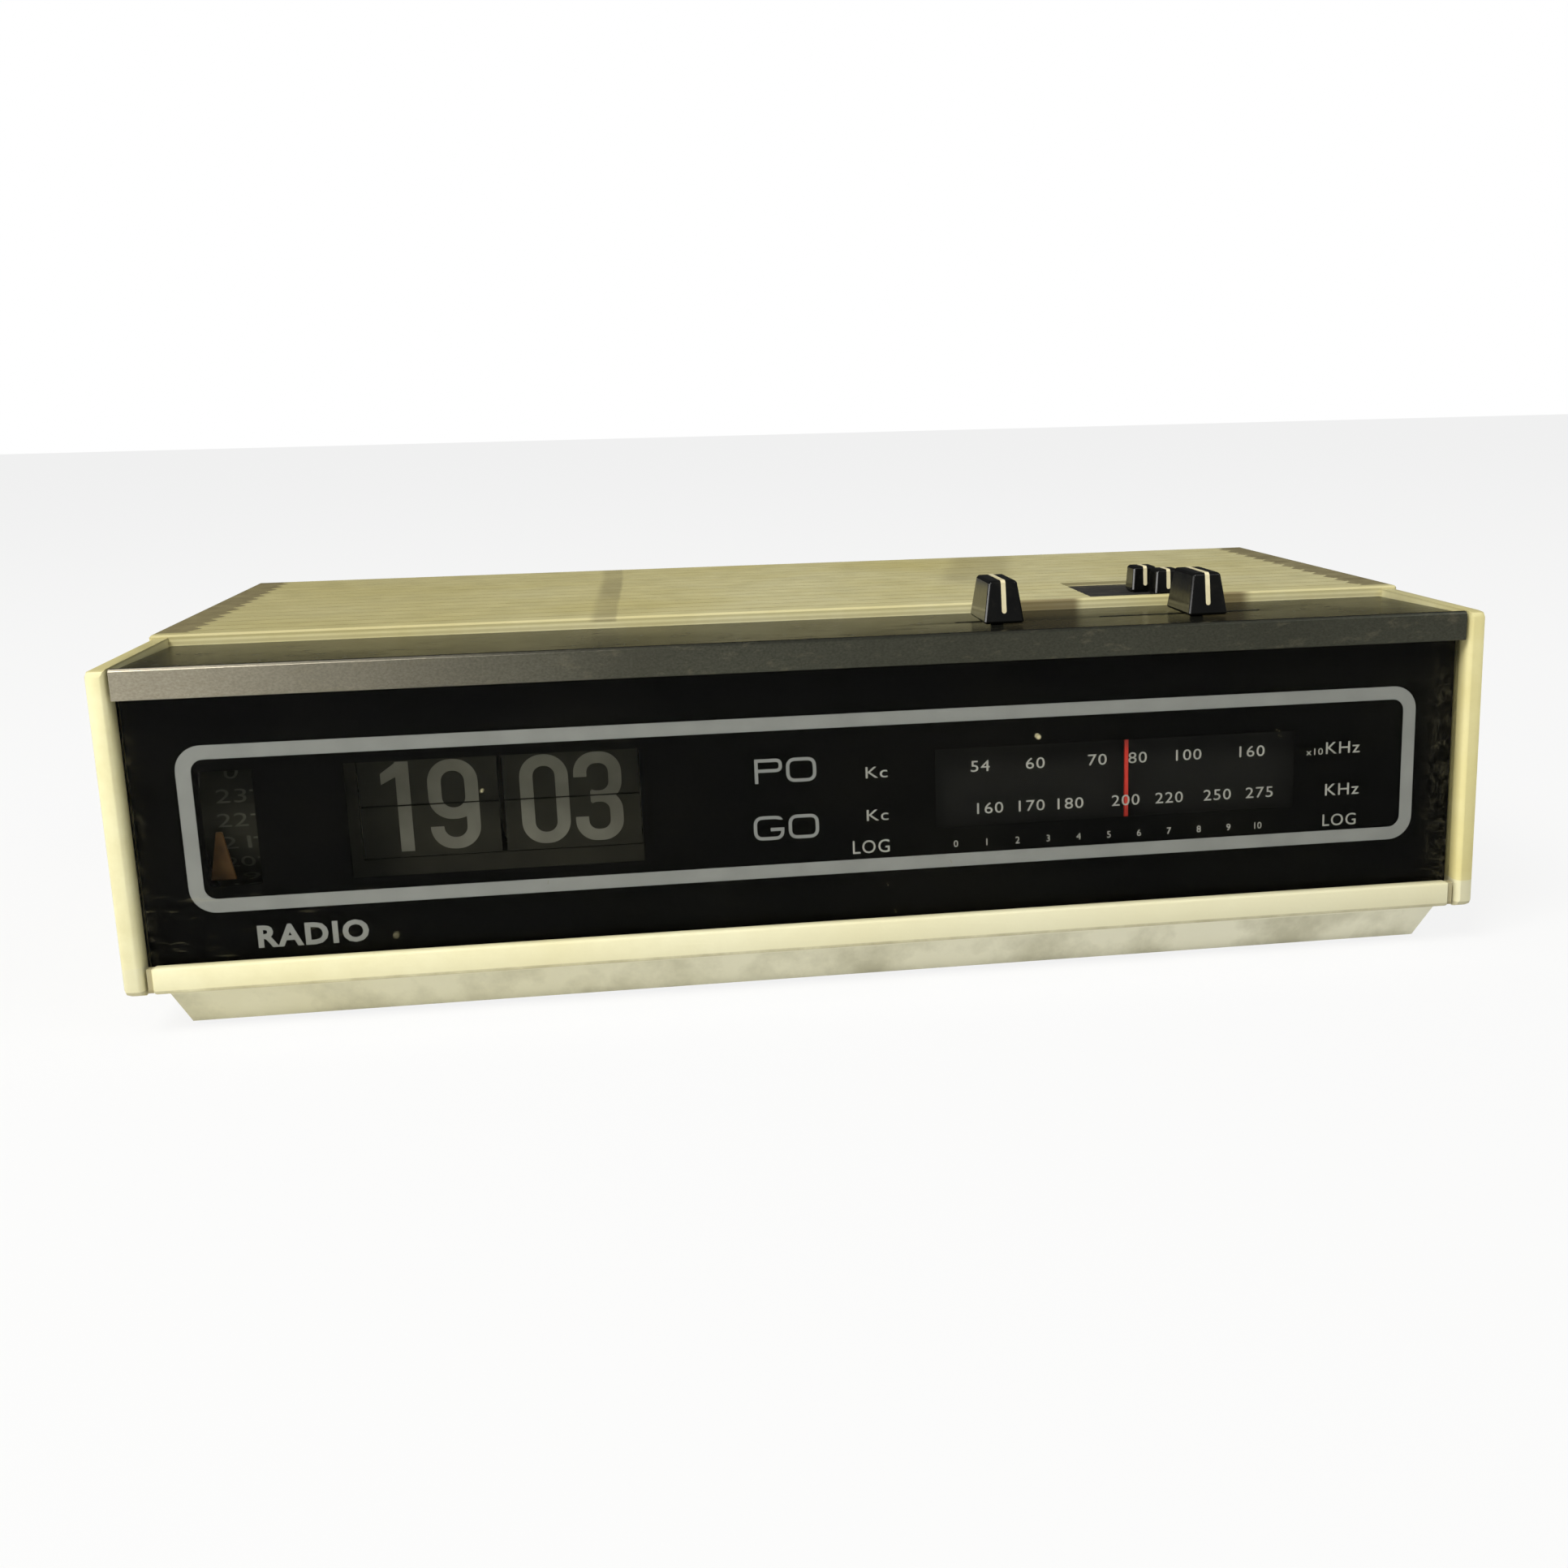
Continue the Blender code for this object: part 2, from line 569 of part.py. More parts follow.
def gear_loop(teeth, phase):
    """A gear's outline about its own centre: four points for each tooth, with ample backlash."""
    pitch = GEAR_MODULE * teeth / 2
    root = pitch - 1.1 * GEAR_MODULE
    tip = pitch + 0.75 * GEAR_MODULE
    half_root = 0.62 * GEAR_MODULE
    half_tip = 0.28 * GEAR_MODULE
    loop = []
    for k in range(teeth):
        middle = math.radians(phase + 360 * k / teeth)
        for radius, half in ((root, -half_root), (tip, -half_tip), (tip, half_tip), (root, half_root)):
            angle = middle + half / radius
            loop.append((radius * math.cos(angle), radius * math.sin(angle)))
    return loop


def gear(name, finish, teeth, phase, bore, centre):
    loops = [gear_loop(teeth, phase), circle(bore, 16)]
    place = at(sum(GEAR_X) / 2, *centre)
    return outline(name, finish, loops, GEAR_X[1] - GEAR_X[0], place, SIDE_VIEW)


def leaf_pack_loop():
    """A ring with the folded-back leaves standing out of its rear half."""
    ring = HUB_RADIUS + 0.0012
    tip = ring + 0.0140
    half = 0.0003
    loop = []
    fins = 14
    for k in range(fins):
        angle = math.radians(-91 + 182 * k / (fins - 1))
        for radius, side in ((ring, -half), (tip, -half), (tip, half), (ring, half)):
            turn = angle + side / radius
            loop.append((radius * math.cos(turn), radius * math.sin(turn)))
    for degrees in range(105, 256, 15):
        turn = math.radians(degrees)
        loop.append((ring * math.cos(turn), ring * math.sin(turn)))
    return loop


def make_leaf_ring(name):
    """One display: the wheel's leaf pack, the next leaf, and the pair that shows now."""
    left, right = LEAF_RINGS[name]
    middle = (left + right) / 2
    loops = [leaf_pack_loop(), circle(HUB_RADIUS + 0.0004, 24)]
    centre = at(middle, CLOCK_BACK, CLOCK_UP)
    pack = as_mesh(outline(f"{name}_leaf_pack", "leaf", loops, right - left, centre, SIDE_VIEW))
    next_back = LEAF_FRONT + 0.0009
    foot = CLOCK_UP + 0.0003
    join_box(pack, (left, right), (next_back, next_back + LEAF_THICKNESS), (foot, CLOCK_UP + LEAF_HEIGHT))
    web_back = (next_back + 0.0002, CLOCK_BACK - HUB_RADIUS - 0.0006)
    join_box(pack, (left + 0.001, right - 0.001), web_back, (foot + 0.0002, foot + 0.0015))
    span = (LEAF_FRONT, LEAF_FRONT + LEAF_THICKNESS)
    near, far = 0.0002, LEAF_HEIGHT
    flap = box(f"{name}_leaf_upper", "leaf", (left, right), span, (CLOCK_UP + near, CLOCK_UP + far))
    move_origin(flap, at(middle, LEAF_HINGE_BACK, CLOCK_UP))
    box(f"{name}_leaf_lower", "leaf", (left, right), span, (CLOCK_UP - far, CLOCK_UP - near))


def move_origin(thing, place):
    """Puts an object's origin on its joint's axis and leaves its shape where it is."""
    thing.data.transform(Matrix.Translation(thing.location - place))
    thing.location = place


def make_clock():
    make_leaf_ring("hour")
    make_leaf_ring("minute")
    bore = AXLE_RADIUS + GAP
    left, right = LEAF_RINGS["hour"]
    hub = [(bore, right), (HUB_RADIUS, right), (HUB_RADIUS, left), (bore, left)]
    turned("hour_drum", "white_plastic", hub, at(0, CLOCK_BACK, CLOCK_UP), "X", 24, closed=True)
    wheel = as_mesh(gear("minute_drum", "white_plastic", GEAR_TEETH, 0, bore, (CLOCK_BACK, CLOCK_UP)))
    left, right = LEAF_RINGS["minute"][0], GEAR_X[0] + 0.0010
    hub = [(bore, right), (HUB_RADIUS, right), (HUB_RADIUS, left), (bore, left)]
    boolean(wheel, turned("hub", None, hub, at(0, CLOCK_BACK, CLOCK_UP), "X", 24, closed=True), "UNION")

    spans = {"left": (-0.1406, -0.1394), "middle": (-0.1210, -0.1198), "right": (-0.0386, -0.0374)}
    base_up = (FLOOR + GAP, FLOOR + GAP + 0.0012)
    frame = box("clock_frame", "steel", (spans["left"][0], spans["right"][1]), (0.012, 0.074), base_up)
    for low, high in spans.values():
        join_box(frame, (low, high), (0.012, 0.074), (base_up[0], 0.062))
    middle = sum(spans["left"]) / 2
    cut_round(frame, (middle, CLOCK_BACK, CLOCK_UP), SHAFT_HOLE_RADIUS, 0.004, "X")
    for plate in ("middle", "right"):
        cut_round(frame, (sum(spans[plate]) / 2, CLOCK_BACK, CLOCK_UP), bore, 0.004, "X")
    for plate in ("left", "middle"):
        cut_round(frame, (sum(spans[plate]) / 2, TIME_BACK, CLOCK_UP), TIME_HOLE_RADIUS, 0.004, "X")
    cut_round(frame, (sum(spans["right"]) / 2, MOTOR_BACK, MOTOR_UP), 0.0015, 0.004, "X")
    cylinder("clock_axle", "steel", (-0.0860, CLOCK_BACK, CLOCK_UP), AXLE_RADIUS, 0.0990, "X", 16)

    left, right = ALARM_DRUM_X
    inner = ALARM_RADIUS - 0.001
    web = left + 0.0012
    cup = [(0, web), (inner, web), (inner, right), (ALARM_RADIUS, right), (ALARM_RADIUS, left),
           (SHAFT_RADIUS, left), (SHAFT_RADIUS, -SHAFT_END_X), (0, -SHAFT_END_X)]
    turned("alarm_drum", "leaf", cup, at(0, CLOCK_BACK, CLOCK_UP), "X", 36)
    side_knob("alarm_knob", -1, CLOCK_BACK, CLOCK_UP, 0.0120, 30)
    index = box("alarm_index", "amber", (-0.1372, -0.1316), (0.0112, 0.0120), (0.0215, 0.0325),
                inset_top=(0.0021, 0))
    bevel(index, 0.0002, 1)

    shaft_end = -(GEAR_X[1] + GAP)
    side_knob("time_knob", -1, TIME_BACK, CLOCK_UP, 0.0090, 24, TIME_SHAFT_RADIUS, shaft_end)
    bore = TIME_HOLE_RADIUS
    gear("time_pinion", "brass", TIME_TEETH, 180 / TIME_TEETH, bore, (TIME_BACK, CLOCK_UP))

    motor = cylinder("clock_motor", "steel", (-0.0292, MOTOR_BACK, MOTOR_UP), 0.0170, 0.0150, "X", 28)
    cut_round(motor, (-0.0367, MOTOR_BACK, MOTOR_UP), 0.0015, 0.010, "X", 12)
    facing = MOTOR_ANGLE + 180 + 180 / MOTOR_TEETH
    teeth = gear("motor_pinion", "brass", MOTOR_TEETH, facing, 0.0006, (MOTOR_BACK, MOTOR_UP))
    teeth = as_mesh(teeth)
    shaft = cylinder("shaft", None, (-0.0368, MOTOR_BACK, MOTOR_UP), 0.0012, 0.0088, "X", 12)
    boolean(teeth, shaft, "UNION")
    cylinder("clock_lamp", "neon_glass", (-0.085, 0.0130, 0.0530), 0.0022, 0.014, "X", 16)


def make_electronics():
    box("main_board", "board", (-0.015, 0.131), (0.062, 0.158), (0.0040, 0.0056))
    core = box("transformer_core", "steel", (-0.100, -0.052), (0.112, 0.132), (-0.0070, 0.0330))
    for x in (-0.0915, -0.0685):
        cut_box(core, (x, x + 0.0080), (0.10, 0.15), (0.0010, 0.0250))
    coil = box("transformer_coil", "copper", (-0.0910, -0.0610), (0.1045, 0.1395), (0.0014, 0.0246))
    cut_box(coil, (-0.0838, -0.0682), (0.1117, 0.1323), (-0.01, 0.04))
    speaker = at(0, 0.118, 0.036)
    frame = [(0.0310, -0.1487), (0.0310, -0.1500), (0.0265, -0.1500), (0.0265, -0.1492), (0.0140, -0.1352),
             (0.0065, -0.1352), (0.0065, -0.1344), (0.0145, -0.1344), (0.0275, -0.1487)]
    turned("speaker_frame", "steel", frame, speaker, "X", 20, closed=True)
    cone = [(0, -0.1425), (0.0070, -0.1390), (0.0240, -0.1490), (0.0258, -0.1498), (0.0258, -0.1503),
            (0.0240, -0.1496), (0.0070, -0.1396), (0, -0.1430)]
    turned("speaker_cone", "paper", cone, speaker, "X", 20)
    cylinder("speaker_magnet", "ferrite", (-0.1296, 0.118, 0.036), 0.0160, 0.0090, "X", 28)
    cylinder("ferrite_rod", "ferrite", (0.050, 0.152, 0.0140), 0.0045, 0.120, "X", 20)
    ring = [(0.0048, 0.010), (0.0062, 0.010), (0.0062, -0.010), (0.0048, -0.010)]
    turned("antenna_coil", "copper", ring, at(0.080, 0.152, 0.0140), "X", 20, closed=True)
    cylinder("filter_capacitor", "blue_sleeve", (0.020, 0.090, 0.0189), 0.0080, 0.026, "Z", 24)


make_upper_cabinet()
make_lower_cabinet()
make_rear_cover()
make_grommet()
make_front()
make_feet_and_screws()
make_sliders()
make_tuning()
make_clock()
make_electronics()
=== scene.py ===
"""The looks of the clock radio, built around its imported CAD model.

Metres, +Z up, the front faces -Y. Places are given as in the CAD: x to the right of the case's
middle, back from the front edge of the side cheeks, and up from their lower edge.
"""

import json
import math

import bmesh
import bpy
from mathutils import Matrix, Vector
from mathutils.geometry import delaunay_2d_cdt


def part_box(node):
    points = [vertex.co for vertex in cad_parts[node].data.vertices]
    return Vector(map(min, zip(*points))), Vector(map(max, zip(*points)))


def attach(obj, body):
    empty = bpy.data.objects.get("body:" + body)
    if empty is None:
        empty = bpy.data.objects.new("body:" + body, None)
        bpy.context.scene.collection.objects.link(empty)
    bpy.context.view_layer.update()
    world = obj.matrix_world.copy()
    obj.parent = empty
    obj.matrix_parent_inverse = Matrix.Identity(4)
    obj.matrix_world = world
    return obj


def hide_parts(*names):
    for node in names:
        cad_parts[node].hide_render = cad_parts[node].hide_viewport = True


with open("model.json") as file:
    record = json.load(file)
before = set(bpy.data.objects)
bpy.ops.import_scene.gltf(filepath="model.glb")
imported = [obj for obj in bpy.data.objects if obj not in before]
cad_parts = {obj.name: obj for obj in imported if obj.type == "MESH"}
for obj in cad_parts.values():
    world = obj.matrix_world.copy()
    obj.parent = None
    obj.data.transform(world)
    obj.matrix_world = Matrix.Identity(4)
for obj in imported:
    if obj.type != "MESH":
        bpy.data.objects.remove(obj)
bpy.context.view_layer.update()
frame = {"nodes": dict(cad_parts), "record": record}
NODES = frame["nodes"]
BODIES = frame["record"]["behaviour"]["bodies"]
BODY_OF = {node: body for body, nodes in BODIES.items() for node in nodes}

MM = 0.001
# The world places of the cheeks' front and lower edges
FRONT = -0.0845
BASE = 0.0107
# Levels of the ribbed top and of the split between the clock's leaves, and the ribs' spacing
FIELD_TOP = 0.0718
CLOCK_UP = 0.0344
RIB_PITCH = 0.0079
# The window's front and rear faces, and what is printed behind it
LENS_BACK = (0.0039, 0.0055)
PRINT_THICKNESS = 0.00012
INK_THICKNESS = 0.00005
INK_BACK = LENS_BACK[1] + 0.00001
# The eye of the photograph, and how far it stands in front of the window
EYE_X, EYE_UP, EYE_REACH = -0.0371, 0.1231, 0.3718
# How white the camera sees the floor: 0 is its own shading, 1 is pure white
FLOOR_WHITENESS = 0.86


def at(x, back, up):
    """The world place of a point that is given from the front of the case."""
    return Vector((x, FRONT + back, BASE + up))


# ---------------------------------------------------------------- camera, light and floor

def make_camera():
    data = bpy.data.cameras.new("camera")
    data.lens = 38.821
    data.sensor_width = 36.0
    data.shift_x = -0.0771
    data.shift_y = -0.0097
    data.clip_start = 0.01
    camera = bpy.data.objects.new("camera", data)
    camera.location = (-0.03709, -0.45235, 0.13380)
    camera.rotation_euler = [math.radians(angle) for angle in (77.5335, 1.2652, -8.6229)]
    bpy.context.scene.collection.objects.link(camera)
    bpy.context.scene.camera = camera


def add_light(name, place, target, width, height, power, colour):
    data = bpy.data.lights.new(name, "AREA")
    data.shape = "RECTANGLE"
    data.size = width
    data.size_y = height
    data.energy = power
    data.color = colour
    lamp = bpy.data.objects.new(name, data)
    lamp.location = place
    lamp.rotation_euler = (Vector(target) - Vector(place)).to_track_quat("-Z", "Y").to_euler()
    bpy.context.scene.collection.objects.link(lamp)


def seen_white(tree, shader, target, floor):
    """Shows a stage surface as white, while it lights the object only as much as its own shader says."""
    white = tree.nodes.new("ShaderNodeEmission")
    seen = tree.nodes.new("ShaderNodeLightPath").outputs["Is Camera Ray"]
    if floor:
        share = tree.nodes.new("ShaderNodeMath")
        share.operation = "MULTIPLY"
        share.inputs[1].default_value = FLOOR_WHITENESS
        tree.links.new(seen, share.inputs[0])
        seen = share.outputs[0]
    choice = tree.nodes.new("ShaderNodeMixShader")
    tree.links.new(seen, choice.inputs[0])
    tree.links.new(shader, choice.inputs[1])
    tree.links.new(white.outputs[0], choice.inputs[2])
    tree.links.new(choice.outputs[0], target)


def make_surroundings():
    world = bpy.data.worlds.new("studio")
    bpy.context.scene.world = world
    world.use_nodes = True
    tree = world.node_tree
    background = tree.nodes["Background"]
    background.inputs["Color"].default_value = (0.97, 0.99, 1.0, 1.0)
    # The room behind the object is dark, as its reflections in the photo show
    place = tree.nodes.new("ShaderNodeTexCoord")
    parts = tree.nodes.new("ShaderNodeSeparateXYZ")
    depth = tree.nodes.new("ShaderNodeMapRange")
    tree.links.new(place.outputs["Generated"], parts.inputs[0])
    tree.links.new(parts.outputs["Y"], depth.inputs["Value"])
    in_front, behind = 0.17, 0.03
    for name, value in (("From Min", -0.2), ("From Max", 0.6), ("To Min", in_front), ("To Max", behind)):
        depth.inputs[name].default_value = value
    tree.links.new(depth.outputs["Result"], background.inputs["Strength"])
    seen_white(tree, background.outputs[0], tree.nodes["World Output"].inputs["Surface"], False)
    add_light("window_light", (-0.78, -0.95, 1.42), (0.0, -0.04, 0.04), 0.9, 0.8, 34.0, (1.0, 0.99, 0.96))
    add_light("side_light", (-1.30, -0.36, 0.25), (0.0, -0.06, 0.06), 0.55, 0.42, 5.2, (1.0, 0.98, 0.95))
    add_light("soft_fill", (1.2, -0.9, 1.4), (0.0, 0.0, 0.03), 1.2, 1.2, 11.5, (0.97, 0.99, 1.0))
    bpy.context.scene.view_settings.view_transform = "Standard"


def make_floor():
    shape = bmesh.new()
    bmesh.ops.create_grid(shape, x_segments=4, y_segments=4, size=6.0)
    data = bpy.data.meshes.new("floor")
    shape.to_mesh(data)
    shape.free()
    floor = bpy.data.objects.new("floor", data)
    bpy.context.scene.collection.objects.link(floor)
    material = bpy.data.materials.new("pale_floor")
    material.use_nodes = True
    tree = material.node_tree
    shader = tree.nodes["Principled BSDF"]
    shader.inputs["Base Color"].default_value = (0.68, 0.68, 0.66, 1.0)
    shader.inputs["Roughness"].default_value = 0.9
    shader.inputs["Specular IOR Level"].default_value = 0.1
    seen_white(tree, shader.outputs[0], tree.nodes["Material Output"].inputs["Surface"], True)
    data.materials.append(material)


# ---------------------------------------------------------------- materials

def rgb(red, green, blue):
    """A display colour, 0 to 255, as the linear colour that a shader takes."""
    def linear(value):
        value /= 255.0
        return value / 12.92 if value <= 0.04045 else ((value + 0.055) / 1.055) ** 2.4
    return (linear(red), linear(green), linear(blue), 1.0)


class Look:
    """A material put together from nodes, which read the row's own metres."""

    def __init__(self, name):
        self.material = bpy.data.materials.new(name)
        self.material.use_nodes = True
        self.tree = self.material.node_tree
        self.shader = self.tree.nodes["Principled BSDF"]
        self.place = self.node("ShaderNodeTexCoord").outputs["Object"]
        parts = self.node("ShaderNodeSeparateXYZ", Vector=self.place)
        self.x, self.y, self.z = parts.outputs

    def feed(self, socket, value):
        if isinstance(value, bpy.types.NodeSocket):
            self.tree.links.new(value, socket)
        else:
            socket.default_value = value

    def node(self, kind, settings=(), **inputs):
        made = self.tree.nodes.new(kind)
        for name, value in dict(settings).items():
            setattr(made, name, value)
        for name, value in inputs.items():
            self.feed(made.inputs[name.replace("_", " ")], value)
        return made

    def math(self, kind, first, second=0.0, third=0.0):
        made = self.tree.nodes.new("ShaderNodeMath")
        made.operation = kind
        for socket, value in zip(made.inputs, (first, second, third)):
            self.feed(socket, value)
        return made.outputs[0]

    def stretched(self, stretch):
        made = self.tree.nodes.new("ShaderNodeMapping")
        self.feed(made.inputs["Vector"], self.place)
        made.inputs["Scale"].default_value = [1.0 / value for value in stretch]
        return made.outputs[0]

    def noise(self, size, detail=3.0, stretch=(1, 1, 1), roughness=0.5):
        """Soft noise, 0 to 1, whose features are about size metres across."""
        made = self.node("ShaderNodeTexNoise", Vector=self.stretched(stretch), Scale=1.0 / size,
                         Detail=detail, Roughness=roughness)
        return made.outputs["Fac"]

    def specks(self, pitch, radius, stretch=(1, 1, 1)):
        """Scattered dots, 1 inside a dot, about pitch metres apart with uneven sizes."""
        made = self.node("ShaderNodeTexVoronoi", Vector=self.stretched(stretch), Scale=1.0 / pitch)
        grey = self.node("ShaderNodeRGBToBW", Color=made.outputs["Color"]).outputs[0]
        size = self.span(grey, 0.45, 0.85, 0.0, radius / pitch)
        gap = self.math("SUBTRACT", size, made.outputs["Distance"])
        return self.span(gap, 0.0, 0.3 * radius / pitch)

    def span(self, value, low, high, to_low=0.0, to_high=1.0, smooth=False):
        made = self.tree.nodes.new("ShaderNodeMapRange")
        made.interpolation_type = "SMOOTHSTEP" if smooth else "LINEAR"
        for socket, number in zip(made.inputs, (value, low, high, to_low, to_high)):
            self.feed(socket, number)
        return made.outputs[0]

    def band(self, value, low, high, soft):
        """1 between low and high, falling to 0 over soft metres outside them."""
        rise = self.span(value, low - soft, low, smooth=True)
        fall = self.span(value, high, high + soft, 1.0, 0.0, smooth=True)
        return self.math("MULTIPLY", rise, fall)

    def times(self, *values):
        result = values[0]
        for value in values[1:]:
            result = self.math("MULTIPLY", result, value)
        return result

    def most(self, *values):
        result = values[0]
        for value in values[1:]:
            result = self.math("MAXIMUM", result, value)
        return result

    def mix(self, factor, first, second):
        made = self.tree.nodes.new("ShaderNodeMix")
        made.data_type = "RGBA"
        for index, value in ((0, factor), (6, first), (7, second)):
            self.feed(made.inputs[index], value)
        return made.outputs[2]

    def bump(self, height, distance, strength=1.0, under=None):
        made = self.node("ShaderNodeBump", Height=height, Distance=distance, Strength=strength)
        if under is not None:
            self.tree.links.new(under, made.inputs["Normal"])
        return made.outputs[0]

    def finish(self, colour, roughness, normal=None, **fixed):
        self.feed(self.shader.inputs["Base Color"], colour)
        self.feed(self.shader.inputs["Roughness"], roughness)
        if normal is not None:
            self.feed(self.shader.inputs["Normal"], normal)
        for name, value in fixed.items():
            self.shader.inputs[name.replace("_", " ")].default_value = value
        return self.material


def make_ivory(name):
    """Yellowed ivory plastic: painted shade and grime in the grooves, a dirty plinth, painted dark
    reflections across the top, painted knob shadows, and painted shade and light elsewhere on the case.
    """
    look = Look(name)
    light, yellow, brown = rgb(232, 226, 182), rgb(214, 203, 140), rgb(122, 110, 74)
    up = look.math("SUBTRACT", look.z, BASE)
    reach = look.math("ABSOLUTE", look.x)
    colour = look.mix(look.span(look.noise(0.055, 4), 0.35, 0.68), light, yellow)
    mottle = look.noise(0.006, 5, roughness=0.65)
    colour = look.mix(look.span(mottle, 0.35, 0.75, 0.0, 0.28), colour, rgb(196, 182, 118))
    # Painted shade, with some dust: the top is darker than the front, more so towards the left
    on_top = look.band(up, FIELD_TOP - 0.0009, 0.08, 0.0004)
    top_shade_and_dust = look.span(look.x, -0.15, 0.02, 0.80, 0.48, smooth=True)
    colour = look.mix(look.math("MULTIPLY", on_top, top_shade_and_dust), colour, rgb(178, 168, 116))
    # The low step behind the trim is a little darker, with a darker line near its foot
    step = look.times(look.band(look.y, FRONT + 0.0486, FRONT + 0.0494, 0.0004),
                      look.band(up, 0.0660, FIELD_TOP + 0.001, 0.0004))
    line = look.times(step, look.band(up, FIELD_TOP - 0.0022, FIELD_TOP - 0.0018, 0.0003))
    colour = look.mix(look.math("MULTIPLY", step, 0.08), colour, rgb(164, 150, 100))
    colour = look.mix(look.math("MULTIPLY", line, 0.30), colour, rgb(120, 106, 66))
    # Painted shade and grime darken the floors of the rib grooves
    groove_shade_and_grime = look.times(look.band(up, FIELD_TOP - 0.0008, FIELD_TOP - 0.00012, 0.0001),
                        look.span(look.y, FRONT + 0.0535, FRONT + 0.0545),
                        look.band(reach, 0.0, 0.1476, 0.0001))
    colour = look.mix(look.math("MULTIPLY", groove_shade_and_grime, 0.62), colour, rgb(104, 92, 58))
    # The smooth margins beside the ribs are darker, and the darkening runs inwards in waves, one to each
    # rib
    waves = look.math("SINE", look.math("MULTIPLY", look.y, 2 * math.pi / RIB_PITCH))
    saw = look.span(waves, -1.0, 1.0, 0.1452, 0.1474)
    margin = look.times(look.span(look.math("SUBTRACT", reach, saw), -0.0003, 0.0004),
                        look.band(up, FIELD_TOP - 0.0030, 0.08, 0.0003),
                        look.span(look.y, FRONT + 0.0520, FRONT + 0.0530))
    colour = look.mix(look.math("MULTIPLY", margin, look.span(mottle, 0.2, 0.7, 0.62, 0.95)), colour,
                      rgb(118, 107, 78))
    # Two painted dark reflections cross the top, and painted shadows of the large knobs lie brown on the
    # step behind and to the right of each
    wander = look.span(look.noise(0.03, 2, (1, 3, 1)), 0.3, 0.7, -0.0008, 0.0008)
    across = look.math("ADD", look.x, wander)
    broken = look.span(look.noise(0.012, 3, (1, 4, 1)), 0.3, 0.6, 0.55, 1.0)
    reflection_band_left = look.times(look.span(across, -0.0530, -0.0505, smooth=True), on_top, broken,
                            look.span(across, -0.0465, -0.0455, 1.0, 0.0, smooth=True))
    slant = look.math("ADD", across, look.math("MULTIPLY", look.y, -0.22))
    reflection_band_right = look.times(look.band(slant, 0.0430, 0.0560, 0.006), on_top,
                             look.span(look.y, 0.0020, 0.0220, smooth=True))
    shaded = look.most(look.band(look.x, 0.0500, 0.0680, 0.0030),
                       look.band(look.x, 0.1010, 0.1120, 0.0040))
    knob_shadow = look.times(shaded,
                           look.band(up, 0.0685, 0.0716, 0.0004),
                           look.band(look.y, FRONT + 0.0480, FRONT + 0.0500, 0.0006))
    reflection_bands = look.most(look.math("MULTIPLY", reflection_band_left, 0.52), look.math("MULTIPLY", reflection_band_right, 0.30))
    colour = look.mix(reflection_bands, colour, rgb(120, 110, 80))
    # Painted shadows of the large knobs on the step
    colour = look.mix(look.math("MULTIPLY", knob_shadow, 0.78), colour, rgb(88, 70, 36))
    # Painted light: the lower case is paler, more so to the right, and the plinth paler still, where the
    # lamps light them less
    lower = look.times(look.band(up, -0.02, 0.0058, 0.0002), look.span(look.x, -0.15, 0.06, 0.30, 0.72))
    colour = look.mix(lower, colour, rgb(222, 218, 190))
    plinth = look.times(look.band(up, -0.02, -0.0006, 0.0003), look.span(look.x, -0.15, 0.10, 0.35, 0.85))
    colour = look.mix(plinth, colour, rgb(244, 241, 220))
    # Painted shade darkens the recess inside the cheeks, under the trim and around the window, and the
    # recess at each end of the lip; grime lies in patches on the plinth
    inside = look.times(look.band(reach, 0.0, 0.1508, 0.0002), look.band(up, 0.0052, 0.0640, 0.0010),
                        look.span(look.y, FRONT + 0.0008, FRONT + 0.0035))
    colour = look.mix(look.math("MULTIPLY", inside, 0.58), colour, rgb(104, 94, 52))
    lip_end_shade = look.times(look.band(reach, 0.1489, 0.1502, 0.0001), look.band(up, -0.0006, 0.0054, 0.0002))
    colour = look.mix(look.math("MULTIPLY", lip_end_shade, 0.6), colour, rgb(122, 106, 62))
    low = look.band(up, -0.02, -0.0012, 0.0006)
    patches = look.span(look.noise(0.020, 5, (1, 1, 1.6), 0.62), 0.44, 0.66)
    colour = look.mix(look.times(low, look.span(patches, 0.0, 1.0, 0.0, 0.46)), colour, rgb(146, 140, 106))
    seam = look.times(look.band(up, -0.0004, 0.0004, 0.0003), look.span(mottle, 0.3, 0.7, 0.3, 0.9))
    colour = look.mix(look.math("MULTIPLY", seam, 0.6), colour, brown)
    marks = look.times(look.specks(0.017, 0.0007, (1, 1.8, 1)), look.span(mottle, 0.4, 0.6))
    colour = look.mix(look.math("MULTIPLY", marks, 0.55), colour, brown)
    rough = look.span(look.noise(0.009, 4), 0.3, 0.7, 0.34, 0.52)
    rough = look.math("ADD", rough, look.math("MULTIPLY", look.most(reflection_bands, groove_shade_and_grime, low), 0.14))
    grain = look.bump(look.noise(0.0007, 2), 0.00003, 0.45)
    scratch = look.noise(0.0009, 2, (14, 1, 1))
    normal = look.bump(look.span(scratch, 0.62, 0.72), 0.00002, 0.35, grain)
    return look.finish(colour, rough, normal)


